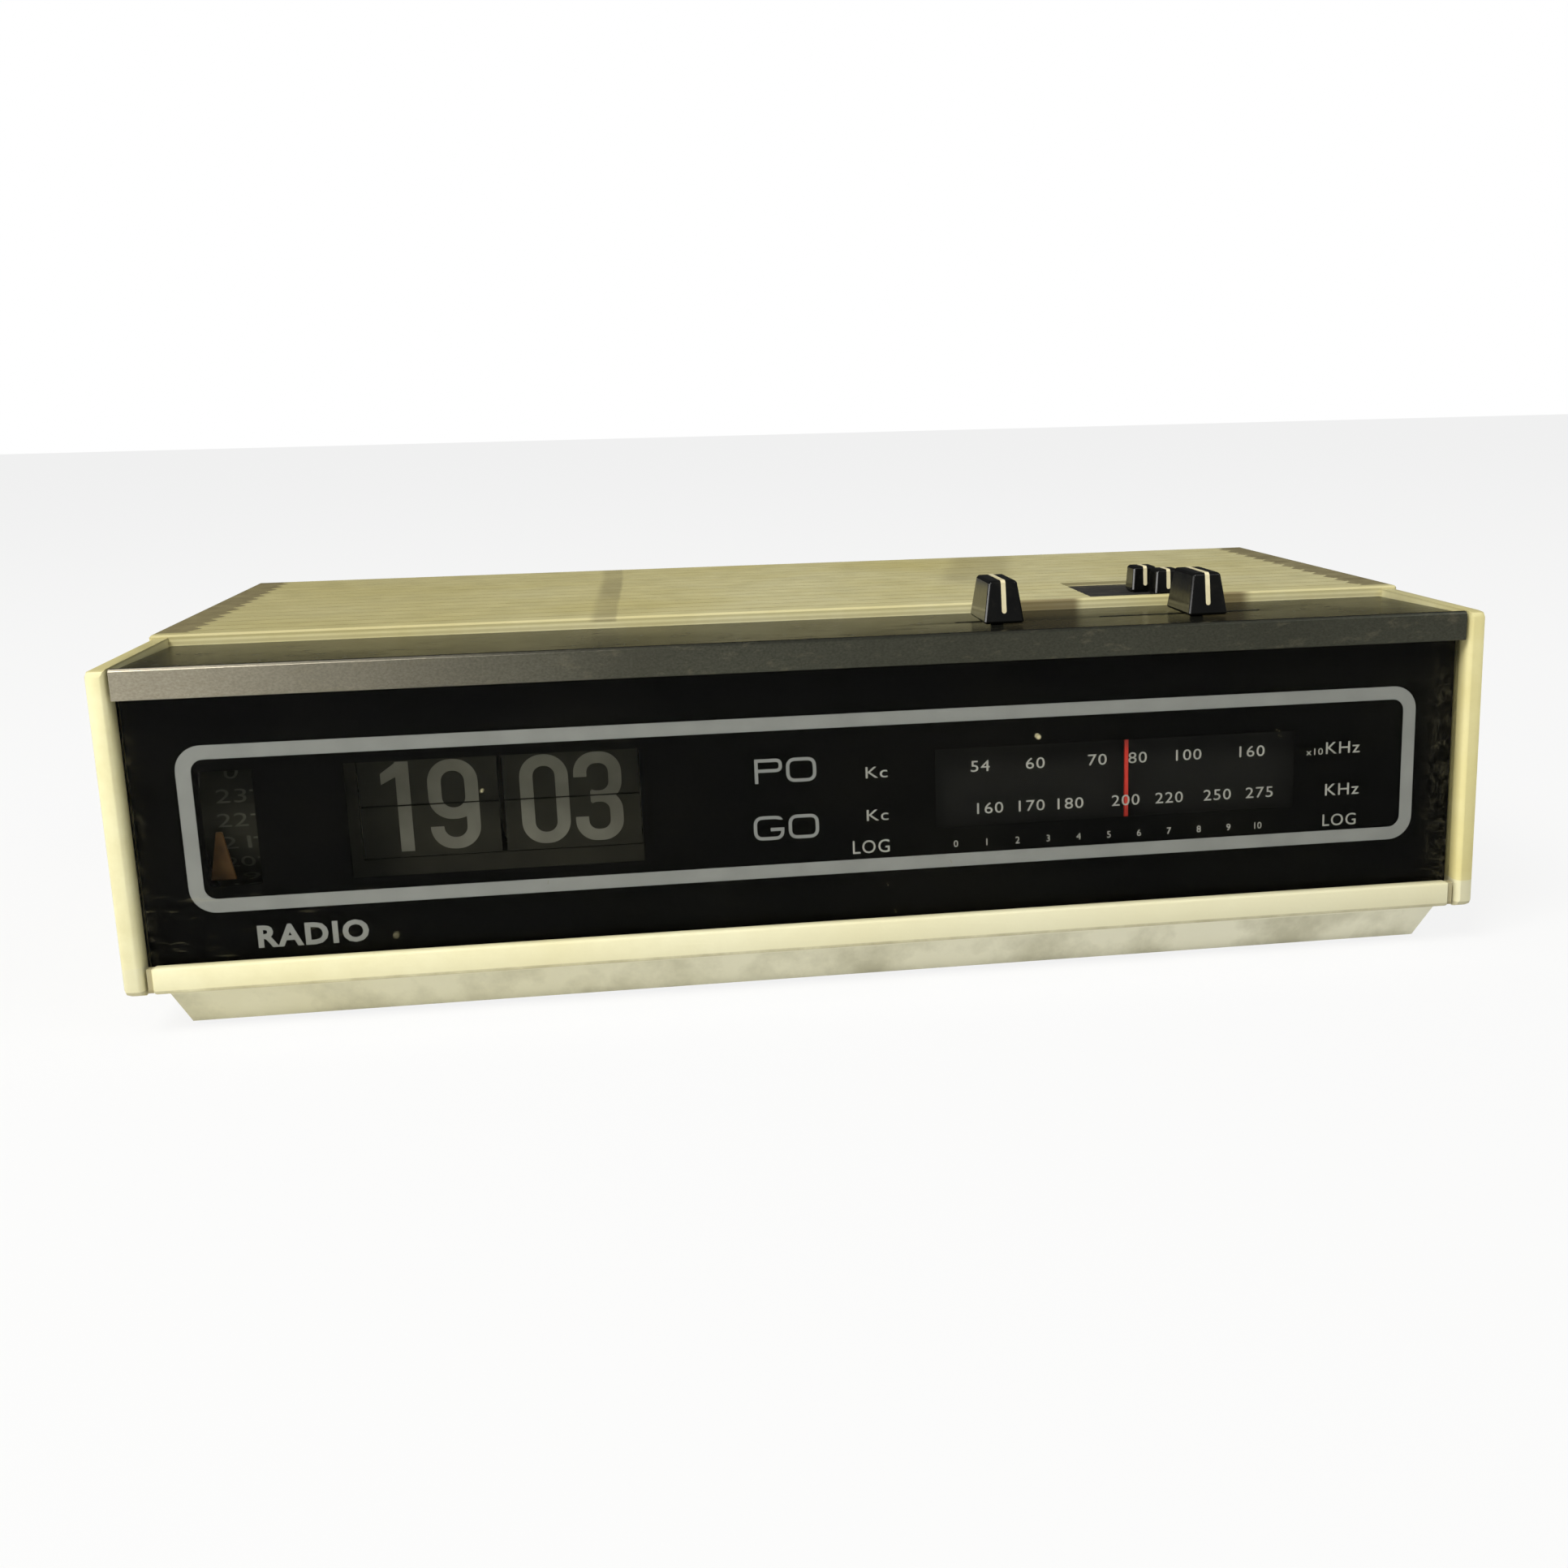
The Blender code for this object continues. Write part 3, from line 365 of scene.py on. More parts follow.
def make_trim_look():
    """Grey metallic paint on the long trim, with fine flake, small chips and a painted sheen at the left
    end of its front face.
    """
    look = Look("grey_trim")
    flake = look.noise(0.0004, 3, (1.6, 1, 1), 0.7)
    cloud = look.noise(0.035, 4)
    on_top = look.span(look.y, FRONT + 0.0004, FRONT + 0.0016)
    colour = look.mix(look.span(flake, 0.3, 0.7), rgb(66, 67, 58), rgb(84, 84, 74))
    colour = look.mix(look.span(cloud, 0.35, 0.75, 0.0, 0.45), colour, rgb(58, 58, 49))
    # Painted sheen: the front face is lighter at its left end, where the lamp's reflection falls
    kept = look.times(look.span(look.x, -0.150, -0.010, 1.0, 0.0), look.span(on_top, 0.0, 1.0, 1.0, 0.35))
    sheen_colour = look.mix(look.span(flake, 0.3, 0.7), rgb(168, 160, 142), rgb(196, 188, 168))
    colour = look.mix(look.times(kept, kept, look.span(cloud, 0.3, 0.7, 1.0, 0.85)), colour, sheen_colour)
    chips = look.times(look.specks(0.011, 0.00038), look.span(look.noise(0.03, 2), 0.42, 0.6))
    colour = look.mix(chips, colour, rgb(208, 200, 176))
    dust = look.times(look.span(look.noise(0.0022, 5, (2.4, 1, 1), 0.7), 0.56, 0.8), 0.35)
    colour = look.mix(dust, colour, rgb(150, 142, 118))
    # Its top is polished by hands, its front face is a little more matt
    rough = look.math("ADD", look.span(cloud, 0.3, 0.7, 0.28, 0.34), look.math("MULTIPLY", on_top, -0.10))
    rough = look.math("ADD", rough, look.math("MULTIPLY", dust, 0.5))
    return look.finish(colour, rough, look.bump(flake, 0.00001, 0.2), Metallic=0.85,
                       Specular_Tint=(0.45, 0.45, 0.43, 1.0))


def make_lens_look():
    """Clear acrylic: a faint reflection, dust, fine scratches and grime in the corners."""
    look = Look("smoked_lens")
    tree = look.tree
    clear = look.node("ShaderNodeBsdfTransparent", Color=(0.94, 0.94, 0.92, 1.0))
    gloss = look.node("ShaderNodeBsdfGlossy", Color=(1.0, 1.0, 1.0, 1.0),
                      Roughness=look.span(look.noise(0.02, 4), 0.3, 0.8, 0.05, 0.16))
    skin = tree.nodes.new("ShaderNodeMixShader")
    look.feed(skin.inputs[0], look.node("ShaderNodeFresnel", IOR=1.10).outputs[0])
    look.feed(skin.inputs[1], clear.outputs[0])
    look.feed(skin.inputs[2], gloss.outputs[0])
    up = look.math("SUBTRACT", look.z, BASE)
    flat = (1, 500, 1)
    fine = look.times(look.specks(0.0060, 0.00016, flat), look.span(look.noise(0.04, 2), 0.45, 0.60), 0.5)
    coarse = look.times(look.specks(0.020, 0.00095, flat), look.span(look.noise(0.05, 2), 0.42, 0.52), 0.8)
    corner = look.times(look.band(look.x, -0.150, -0.118, 0.02), look.band(up, 0.0, 0.016, 0.012))
    scratch = look.span(look.noise(0.0011, 3, (9, 1, 1.4), 0.65), 0.63, 0.72)
    scuff = look.times(scratch, look.math("ADD", look.math("MULTIPLY", corner, 0.10), 0.006))
    edge = look.most(look.band(look.x, 0.1478, 0.16, 0.007), look.band(look.x, -0.16, -0.1488, 0.002),
                     look.times(look.band(up, -0.01, 0.0036, 0.0016), look.span(look.x, 0.02, 0.15)))
    grime = look.times(edge, look.span(look.noise(0.0016, 6, roughness=0.75), 0.52, 0.80), 0.13)
    film = look.times(look.span(look.noise(0.03, 4, (1.5, 1, 1)), 0.45, 0.9), 0.003)
    dust = look.math("ADD", look.most(fine, coarse, scuff, grime), film)
    powder = look.node("ShaderNodeBsdfDiffuse", Color=rgb(196, 188, 150))
    whole = tree.nodes.new("ShaderNodeMixShader")
    look.feed(whole.inputs[0], dust)
    look.feed(whole.inputs[1], skin.outputs[0])
    look.feed(whole.inputs[2], powder.outputs[0])
    tree.nodes.remove(look.shader)
    look.feed(tree.nodes["Material Output"].inputs["Surface"], whole.outputs[0])
    return look.material


def make_print_look(name, dark, pale, size, rough, specular=0.2):
    """Screen-printed ink: an even colour with slight thin places."""
    look = Look(name)
    thin = look.noise(size, 4, roughness=0.6)
    colour = look.mix(look.span(thin, 0.35, 0.75), pale, dark)
    fine = look.noise(0.0004, 2)
    return look.finish(colour, look.span(thin, 0.2, 0.8, rough - 0.06, rough + 0.06),
                       look.bump(fine, 0.00001, 0.3), Specular_IOR_Level=specular)


def make_plain(name, base, other, size, rough, metallic=0.0, stretch=(1, 1, 1), bump=0.00003,
               grain=0.0006, specular=0.5, worn=None):
    """A material of two close tones with grain, uneven gloss and, if given, worn or dusty specks."""
    look = Look(name)
    cloud = look.noise(size, 4, stretch, 0.6)
    colour = look.mix(look.span(cloud, 0.3, 0.7), base, other)
    if worn is not None:
        spots = look.times(look.specks(0.006, 0.0003), look.span(look.noise(0.02, 2), 0.4, 0.6))
        dusty = look.times(look.span(look.noise(0.004, 5, (1, 1, 1), 0.7), 0.55, 0.85), 0.35)
        colour = look.mix(look.most(spots, dusty), colour, worn)
    gloss = look.span(look.noise(size * 0.4, 3, stretch), 0.3, 0.7, rough[0], rough[1])
    fine = look.noise(grain, 2, stretch)
    return look.finish(colour, gloss, look.bump(fine, bump, 0.5), Metallic=metallic,
                       Specular_IOR_Level=specular)


def make_windings(name, base, other, pitch, axis):
    """Enamelled wire, laid in turns along the given axis."""
    look = Look(name)
    along = {"X": look.x, "Y": look.y, "Z": look.z}[axis]
    turns = look.math("SINE", look.math("MULTIPLY", along, 2 * math.pi / pitch))
    colour = look.mix(look.span(turns, -1.0, 0.2), other, base)
    rough = look.span(look.noise(0.004, 3), 0.3, 0.7, 0.25, 0.45)
    return look.finish(colour, rough, look.bump(turns, 0.0001, 0.8), Metallic=0.8)


def make_paper():
    """Speaker paper: fibrous, in shallow rings about the cone's middle."""
    look = Look("paper")
    low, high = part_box("speaker_cone")
    middle = (low + high) / 2
    away_y = look.math("SUBTRACT", look.y, middle.y)
    away_z = look.math("SUBTRACT", look.z, middle.z)
    radius = look.math("SQRT", look.math("ADD", look.math("MULTIPLY", away_y, away_y),
                                         look.math("MULTIPLY", away_z, away_z)))
    rings = look.math("SINE", look.math("MULTIPLY", radius, 2 * math.pi / 0.0025))
    fibre = look.noise(0.0012, 4, roughness=0.7)
    colour = look.mix(look.span(fibre, 0.3, 0.7), rgb(44, 40, 36), rgb(78, 72, 62))
    normal = look.bump(rings, 0.00008, 0.5, look.bump(fibre, 0.00008, 0.6))
    return look.finish(colour, look.span(fibre, 0.2, 0.8, 0.75, 0.95), normal, Specular_IOR_Level=0.2)


def make_cord_look():
    """Braided dial cord."""
    look = Look("cord")
    twist = look.math("ADD", look.x, look.math("ADD", look.y, look.z))
    braid = look.math("SINE", look.math("MULTIPLY", twist, 2 * math.pi / 0.0009))
    colour = look.mix(look.span(braid, -1.0, 1.0), rgb(140, 128, 96), rgb(206, 196, 160))
    return look.finish(colour, look.span(look.noise(0.004, 2), 0.3, 0.7, 0.7, 0.9),
                       look.bump(braid, 0.00006, 0.7), Specular_IOR_Level=0.2)


LOOKS = {
    "ivory_plastic": make_ivory("ivory_plastic"),
    "grey_trim": make_trim_look(),
    "smoked_lens": make_lens_look(),
    "black_plastic": make_plain("black_plastic", rgb(8, 8, 8), rgb(15, 15, 13), 0.006, (0.10, 0.18),
                                bump=0.000008, specular=0.40, worn=rgb(52, 50, 42)),
    "dark_plate": make_plain("dark_plate", rgb(44, 43, 42), rgb(60, 58, 54), 0.008, (0.42, 0.6),
                             specular=0.4, worn=rgb(112, 104, 84)),
    "rubber": make_plain("rubber", rgb(26, 26, 25), rgb(44, 42, 39), 0.004, (0.7, 0.9), specular=0.3,
                         worn=rgb(96, 90, 76)),
    "steel": make_plain("steel", rgb(176, 176, 172), rgb(142, 140, 134), 0.005, (0.26, 0.44), 1.0,
                        (8, 1, 1), worn=rgb(120, 108, 88)),
    "brass": make_plain("brass", rgb(205, 176, 104), rgb(172, 140, 74), 0.003, (0.25, 0.42), 1.0,
                        worn=rgb(110, 84, 50)),
    "white_plastic": make_plain("white_plastic", rgb(222, 220, 208), rgb(204, 200, 184), 0.008,
                                (0.4, 0.55)),
    "leaf": make_plain("leaf", rgb(56, 55, 46), rgb(44, 43, 37), 0.012, (0.6, 0.75), specular=0.1,
                       worn=rgb(64, 62, 56)),
    "amber": make_plain("amber", rgb(112, 80, 44), rgb(84, 58, 32), 0.003, (0.35, 0.5), specular=0.2),
    "pointer_red": make_plain("pointer_red", rgb(232, 62, 48), rgb(206, 44, 34), 0.003, (0.35, 0.5)),
    "cord": make_cord_look(),
    "board": make_plain("board", rgb(168, 124, 70), rgb(142, 98, 52), 0.010, (0.45, 0.65), 0.0,
                        (3, 1, 1), worn=rgb(196, 190, 170)),
    "copper": make_windings("copper", rgb(196, 112, 62), rgb(92, 44, 22), 0.0006, "X"),
    "ferrite": make_plain("ferrite", rgb(58, 58, 60), rgb(42, 42, 44), 0.004, (0.5, 0.7), grain=0.0003),
    "paper": make_paper(),
    "blue_sleeve": make_plain("blue_sleeve", rgb(42, 82, 150), rgb(30, 62, 122), 0.006, (0.25, 0.4)),
    "neon_glass": make_plain("neon_glass", rgb(236, 160, 110), rgb(220, 132, 84), 0.003, (0.06, 0.14)),
}
BLACK_PRINT = make_print_look("black_print", rgb(6, 6, 6), rgb(9, 9, 8), 0.03, 0.8, 0.0)
SILVER_INK = make_print_look("silver_ink", rgb(166, 168, 168), rgb(154, 156, 156), 0.010, 0.40, 0.4)
WHITE_INK = make_print_look("white_ink", rgb(206, 206, 200), rgb(176, 176, 170), 0.004, 0.5)
LEAF_INK = make_print_look("leaf_ink", rgb(158, 158, 146), rgb(132, 130, 120), 0.012, 0.6, 0.1)
DRUM_INK = make_print_look("drum_ink", rgb(104, 104, 94), rgb(78, 78, 70), 0.004, 0.6, 0.1)
DIAL_BACK = make_plain("dial_back", rgb(27, 27, 25), rgb(21, 21, 20), 0.012, (0.6, 0.75), specular=0.1)
CREAM_LINE = make_plain("cream_line", rgb(232, 222, 184), rgb(214, 202, 160), 0.003, (0.35, 0.5),
                        worn=rgb(180, 166, 122))


# ---------------------------------------------------------------- mesh helpers

def add_piece(name, data, look, body, replaces=()):
    """Adds a mesh, given in world metres, as a piece that rides on a body."""
    data.materials.clear()
    data.materials.append(look)
    thing = bpy.data.objects.new(name, data)
    bpy.context.scene.collection.objects.link(thing)
    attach(thing, body)
    if replaces:
        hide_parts(*replaces)
    return thing


def mesh_from(name, shape, sharp=35):
    data = bpy.data.meshes.new(name)
    bmesh.ops.recalc_face_normals(shape, faces=shape.faces)
    shape.to_mesh(data)
    shape.free()
    data.shade_smooth()
    data.set_sharp_from_angle(angle=math.radians(sharp))
    return data


def soften(thing, width, segments=2, angle=30):
    """Rounds a piece's sharp edges, with flat faces kept flat in shading."""
    modifier = thing.modifiers.new("edges", "BEVEL")
    modifier.width = width
    modifier.segments = segments
    modifier.limit_method = "ANGLE"
    modifier.angle_limit = math.radians(angle)
    modifier.harden_normals = True
    return thing


def refined(node, look, width, segments=2, angle=30):
    """A piece in a CAD node's own shape, cleaned of its triangles and with rounded edges."""
    shape = bmesh.new()
    shape.from_mesh(NODES[node].data)
    bmesh.ops.remove_doubles(shape, verts=shape.verts, dist=0.000002)
    bmesh.ops.dissolve_limit(shape, angle_limit=math.radians(0.6), verts=shape.verts, edges=shape.edges)
    data = bpy.data.meshes.new(node + "_shell")
    shape.to_mesh(data)
    shape.free()
    if "custom_normal" in data.attributes:
        data.attributes.remove(data.attributes["custom_normal"])
    data.shade_smooth()
    data.set_sharp_from_angle(angle=math.radians(angle))
    thing = add_piece(node + "_shell", data, look, BODY_OF[node], [node])
    return soften(thing, width, segments, angle)


def round_rect(x, up, radius, steps=6):
    """A rounded rectangle's outline between two (low, high) pairs."""
    points = []
    corners = ((x[1], up[1], 0), (x[0], up[1], 90), (x[0], up[0], 180), (x[1], up[0], 270))
    for corner_x, corner_up, start in corners:
        centre_x = corner_x - math.copysign(radius, corner_x - (x[0] + x[1]) / 2)
        centre_up = corner_up - math.copysign(radius, corner_up - (up[0] + up[1]) / 2)
        for step in range(steps + 1):
            angle = math.radians(start + 90 * step / steps)
            points.append((centre_x + radius * math.cos(angle), centre_up + radius * math.sin(angle)))
    return points


def rect(x, up):
    return [(x[0], up[0]), (x[1], up[0]), (x[1], up[1]), (x[0], up[1])]


def flat_shape(groups):
    """A flat mesh, in (x, 0, up), of all that lies in one group's outlines and in none of its cuts."""
    points, faces, owners = [], [], []
    for number, (added, cut) in enumerate(groups):
        for kind, outlines in ((1, added), (0, cut)):
            for outline in outlines:
                faces.append(list(range(len(points), len(points) + len(outline))))
                points.extend(Vector(point) / MM for point in outline)
                owners.append((number, kind))
    made = delaunay_2d_cdt(points, [], faces, 0, 1e-5, True)
    shape = bmesh.new()
    corners = [shape.verts.new((point.x * MM, 0.0, point.y * MM)) for point in made[0]]
    for face, origins in zip(made[2], made[5]):
        inside = {owners[origin] for origin in origins}
        if any((number, 1) in inside and (number, 0) not in inside for number in range(len(groups))):
            shape.faces.new([corners[index] for index in face])
    loose = [corner for corner in shape.verts if not corner.link_faces]
    bmesh.ops.delete(shape, geom=loose, context="VERTS")
    bmesh.ops.dissolve_limit(shape, angle_limit=math.radians(1), verts=shape.verts, edges=shape.edges)
    bmesh.ops.triangulate(shape, faces=shape.faces)
    return shape


def thicken(shape, thickness):
    """Gives a flat shape a thickness towards the back."""
    made = bmesh.ops.extrude_face_region(shape, geom=list(shape.faces))
    moved = [item for item in made["geom"] if isinstance(item, bmesh.types.BMVert)]
    bmesh.ops.translate(shape, verts=moved, vec=(0, thickness, 0))
    return shape


def keep_side(shape, up, above):
    """Cuts a flat shape along a level line and keeps one side of it."""
    geometry = list(shape.verts) + list(shape.edges) + list(shape.faces)
    bmesh.ops.bisect_plane(shape, geom=geometry, plane_co=(0, 0, up), plane_no=(0, 0, 1),
                           clear_inner=above, clear_outer=not above)


def text_shape(shape, text, centre, height, width=None, spacing=1.0, weight=0.0):
    """Adds a line of plain text to a flat shape, its middle at (x, up), in metres."""
    curve = bpy.data.curves.new("lettering", "FONT")
    curve.body = text
    curve.space_character = spacing
    curve.offset = weight
    curve.resolution_u = 3
    thing = bpy.data.objects.new("lettering", curve)
    data = bpy.data.meshes.new_from_object(thing)
    low = [min(vertex.co[axis] for vertex in data.vertices) for axis in (0, 1)]
    high = [max(vertex.co[axis] for vertex in data.vertices) for axis in (0, 1)]
    tall = height / (high[1] - low[1])
    wide = tall if width is None else width / (high[0] - low[0])
    middle = [(first + last) / 2 for first, last in zip(low, high)]
    for vertex in data.vertices:
        x = (vertex.co.x - middle[0]) * wide + centre[0]
        up = (vertex.co.y - middle[1]) * tall + centre[1]
        vertex.co = (x, 0.0, up)
    shape.from_mesh(data)
    bpy.data.objects.remove(thing)
    bpy.data.curves.remove(curve)
    bpy.data.meshes.remove(data)


def seen_place(point, back):
    """The place at its own depth of a point that the photo's eye sees on the window's face."""
    scale = 1.0 + (back - LENS_BACK[0]) / EYE_REACH
    return at(EYE_X + (point.x - EYE_X) * scale, back + point.y, EYE_UP + (point.z - EYE_UP) * scale)


def set_back(shape, back):
    """Moves a flat shape, drawn as the photo's eye sees it on the window's face, to its own depth."""
    for vertex in shape.verts:
        vertex.co = seen_place(vertex.co, back)


def add_print(name, shape, look):
    """Adds a flat shape as ink on the window's rear face."""
    thicken(shape, INK_THICKNESS)
    set_back(shape, INK_BACK)
    add_piece(name, mesh_from(name, shape), look, "case")


# ---------------------------------------------------------------- the window and its print

# Openings in the print, as (low, high) pairs for x and up
ALARM_WINDOW = ((-0.1355, -0.1245), (0.0223, 0.0477))
CLOCK_WINDOW = ((-0.1054, -0.0421), (0.0222, 0.0480))
TUNING_WINDOW = ((0.0244, 0.1101), (0.0258, 0.0441))
# Beyond these the print keeps to the window's own outline
PRINT_EDGE_X = 0.149
PRINT_EDGE_UP = (0.005, 0.064)
# The frame line's outer and inner outlines: x, up and corner radius
LINE_OUTER = ((-0.140, 0.140), (0.0163, 0.0535), 0.0056)
LINE_INNER = ((-0.1368, 0.1369), (0.0194, 0.0504), 0.0027)
# Each scale's numbers with the middle of each in millimetres, and the plain 0 to 10 scale below
UPPER_SCALE = ((54, 34.9), (60, 47.8), (70, 62.5), (80, 72.1), (100, 84.4), (160, 99.8))
LOWER_SCALE = ((160, 37.1), (170, 46.9), (180, 56.1), (200, 69.3), (220, 79.8), (250, 91.5),
               (275, 101.8))
LOG_START, LOG_PITCH = 28.95, 7.27


def band_letter(letter, x, up, stroke=0.00075, radius=0.0019):
    """One of the wide, square-round letters of the band names, as groups for flat_shape."""
    inner_x = (x[0] + stroke, x[1] - stroke)
    inner_up = (up[0] + stroke, up[1] - stroke)
    ring = ([round_rect(x, up, radius)], [round_rect(inner_x, inner_up, radius - stroke)])
    middle = (up[0] + up[1]) / 2
    if letter == "O":
        return [ring]
    if letter == "G":
        gap = rect((x[0] + 0.6 * (x[1] - x[0]), x[1] + 0.001), (middle, up[1] - stroke - 0.0002))
        bar = rect((x[0] + 0.55 * (x[1] - x[0]), x[1]), (middle - stroke, middle))
        return [(ring[0], ring[1] + [gap]), ([bar], [])]
    bowl_up = (middle - 0.4 * stroke, up[1])
    inner = round_rect((x[0] - 0.003, x[1] - stroke), (bowl_up[0] + stroke, up[1] - stroke), 0.0006)
    bowl = round_rect((x[0] - 0.002, x[1]), bowl_up, 0.0013)
    beyond = rect((x[0] - 0.004, x[0]), (up[0], up[1] + 0.001))
    stem = rect((x[0], x[0] + stroke), up)
    return [([bowl], [inner, beyond]), ([stem], [])]


def make_window(x, up):
    """The clear window, within its CAD node's outline."""
    slab = thicken(flat_shape([([round_rect(x, up, 0.0004, 3)], [])]), LENS_BACK[1] - LENS_BACK[0])
    for vertex in slab.verts:
        vertex.co = at(vertex.co.x, LENS_BACK[0] + vertex.co.y, vertex.co.z)
    lens = add_piece("front_lens_clear", mesh_from("front_lens_clear", slab), LOOKS["smoked_lens"], "case",
                     ["front_lens"])
    soften(lens, 0.0002, 2, 50)


def make_window_mask(x, up):
    """The black print behind the window, open over the alarm drum, the clock and the scale."""
    windows = [round_rect(*window, 0.0003, 2) for window in (ALARM_WINDOW, CLOCK_WINDOW, TUNING_WINDOW)]
    inset = 0.0002
    sheet = [round_rect((x[0] + inset, x[1] - inset), (up[0] + inset, up[1] - inset), 0.0004, 3)]
    back = LENS_BACK[1] + INK_THICKNESS + 0.00002
    mask = thicken(flat_shape([(sheet, windows)]), PRINT_THICKNESS)
    # The sheet keeps its own outline, while its windows sit where the eye sees them
    for vertex in mask.verts:
        point = vertex.co
        on_edge = abs(point.x) > PRINT_EDGE_X or not PRINT_EDGE_UP[0] < point.z < PRINT_EDGE_UP[1]
        vertex.co = at(point.x, back + point.y, point.z) if on_edge else seen_place(point, back)
    add_piece("window_mask", mesh_from("window_mask", mask), BLACK_PRINT, "case")


def make_frame_line():
    shape = flat_shape([([round_rect(*LINE_OUTER, 12)], [round_rect(*LINE_INNER, 10)])])
    add_print("frame_line", shape, SILVER_INK)


def make_band_names():
    """The two wave bands' names, as plain two-letter words."""
    groups = []
    for letter, letter_x in (("P", (-0.0167, -0.0105)), ("O", (-0.0096, -0.0028))):
        groups += band_letter(letter, letter_x, (0.0384, 0.0440))
    for letter, letter_x in (("G", (-0.0174, -0.0105)), ("O", (-0.0095, -0.0026))):
        groups += band_letter(letter, letter_x, (0.0252, 0.0308))
    add_print("band_names", flat_shape(groups), SILVER_INK)


def make_scale_print():
    """The tuning scale's numbers and units."""
    lettering = bmesh.new()
    narrow, wide = 0.0017, 0.00222
    for scale, level in ((UPPER_SCALE, 0.03975), (LOWER_SCALE, 0.02975)):
        for number, middle in scale:
            width = sum(narrow if digit == "1" else wide for digit in str(number))
            text_shape(lettering, str(number), (middle * MM, level), 0.0026, width, 1.1)
    for number in range(11):
        text_shape(lettering, str(number), ((LOG_START + number * LOG_PITCH) * MM, 0.0217), 0.0016)
    for text, middle, height, width in (
            ("Kc", (0.0109, 0.0396), 0.0026, 0.0050), ("Kc", (0.0109, 0.0296), 0.0026, 0.0050),
            ("LOG", (0.00925, 0.02225), 0.0031, 0.0085), ("x10", (0.1152, 0.0388), 0.0016, 0.0041),
            ("KHz", (0.1222, 0.0395), 0.0028, 0.0084), ("KHz", (0.1223, 0.0294), 0.0028, 0.0084),
            ("LOG", (0.12185, 0.02195), 0.0029, 0.0083)):
        text_shape(lettering, text, middle, height, width, 1.1)
    add_print("scale_print", lettering, WHITE_INK)


def make_plain_word():
    word = bmesh.new()
    text_shape(word, "RADIO", (-0.1150, 0.0102), 0.0052, 0.0236, 1.15, 0.035)
    add_print("plain_word", word, SILVER_INK)


# ---------------------------------------------------------------- flip clock numbers

DIGIT_HEIGHT = 0.0210
DIGIT_LOW = 0.0236
SIDE_STROKE = 0.0030
BAR_STROKE = 0.0027
# Front and rear faces of the shown leaves, and how much deeper the next leaf's front lies
LEAF_BACK = (0.0194, 0.0199)
NEXT_LEAF_DEEPER = 0.0009
# Half the gap between the upper and lower half of a number
SPLIT_GAP = 0.00016


def ring(x, up, radius=0.0052):
    """A digit's closed stroke, as its outer and inner outlines."""
    widest = (x[1] - x[0]) / 2 - 0.0001
    inner = round_rect((x[0] + SIDE_STROKE, x[1] - SIDE_STROKE), (up[0] + BAR_STROKE, up[1] - BAR_STROKE),
                       min(radius - BAR_STROKE, widest - SIDE_STROKE), 8)
    return round_rect(x, up, min(radius, widest), 10), inner


def flip_digit(digit, x):
    """A bold condensed digit between two x values, as groups for flat_shape."""
    low, high = DIGIT_LOW, DIGIT_LOW + DIGIT_HEIGHT
    middle = (low + high) / 2
    left, right = x
    half = left + 0.42 * (right - left)
    whole, hole = ring(x, (low, high))
    if digit == "0":
        return [([whole], [hole])]
    if digit == "1":
        stem = rect((right - SIDE_STROKE, right), (low, high))
        flag = [(left, high - 0.0052), (right - 0.002, high - 0.0030), (right - 0.002, high),
                (right - 0.0026, high), (left, high - 0.0026)]
        return [([stem, flag], [])]
    if digit == "9":
        bowl, eye = ring(x, (low + 0.0070, high))
        open_side = rect((left - 0.001, half), (low + 0.0054, middle + 0.003))
        return [([whole], [hole, open_side]), ([bowl], [eye])]
    if digit == "3":
        upper, upper_hole = ring(x, (middle - BAR_STROKE / 2, high), 0.0048)
        lower, lower_hole = ring(x, (low, middle + BAR_STROKE / 2), 0.0048)
        open_side = rect((left - 0.001, left + 0.0039), (low + 0.0058, high - 0.0058))
        stub = rect((left + 0.0036, left + 0.0065), (middle - BAR_STROKE / 2, middle + BAR_STROKE / 2))
        return [([upper], [upper_hole, open_side]), ([lower], [lower_hole, open_side]), ([stub], [])]
    if digit == "2":
        upper, upper_hole = ring(x, (middle - 0.003, high))
        below = rect((left - 0.001, right + 0.001), (low, middle + 0.0017))
        open_side = rect((left - 0.001, left + 0.0039), (low, high - 0.0058))
        slope = [(right - SIDE_STROKE, middle + 0.0017), (right, middle + 0.0017),
                 (left + 0.0036, low + 0.001), (left, low + 0.001)]
        base = rect(x, (low, low + BAR_STROKE))
        return [([upper], [upper_hole, below, open_side]), ([slope, base], [])]
    # What is left is a 4
    stem = rect((right - 0.0052, right - 0.0022), (low, high))
    bar = rect(x, (low + 0.0044, low + 0.0044 + BAR_STROKE))
    slope = [(right - 0.0055, high), (right - 0.0022, high), (left + 0.003, low + 0.0055),
             (left, low + 0.0055)]
    return [([stem, bar, slope], [])]


def number_shape(text, places, above):
    """The upper or lower half of a two-digit number, drawn on the leaves' own plane."""
    groups = []
    for digit, place in zip(text, places):
        groups += flip_digit(digit, place)
    shape = flat_shape(groups)
    keep_side(shape, CLOCK_UP + (SPLIT_GAP if above else -SPLIT_GAP), above)
    bmesh.ops.triangulate(shape, faces=shape.faces)
    return thicken(shape, INK_THICKNESS)


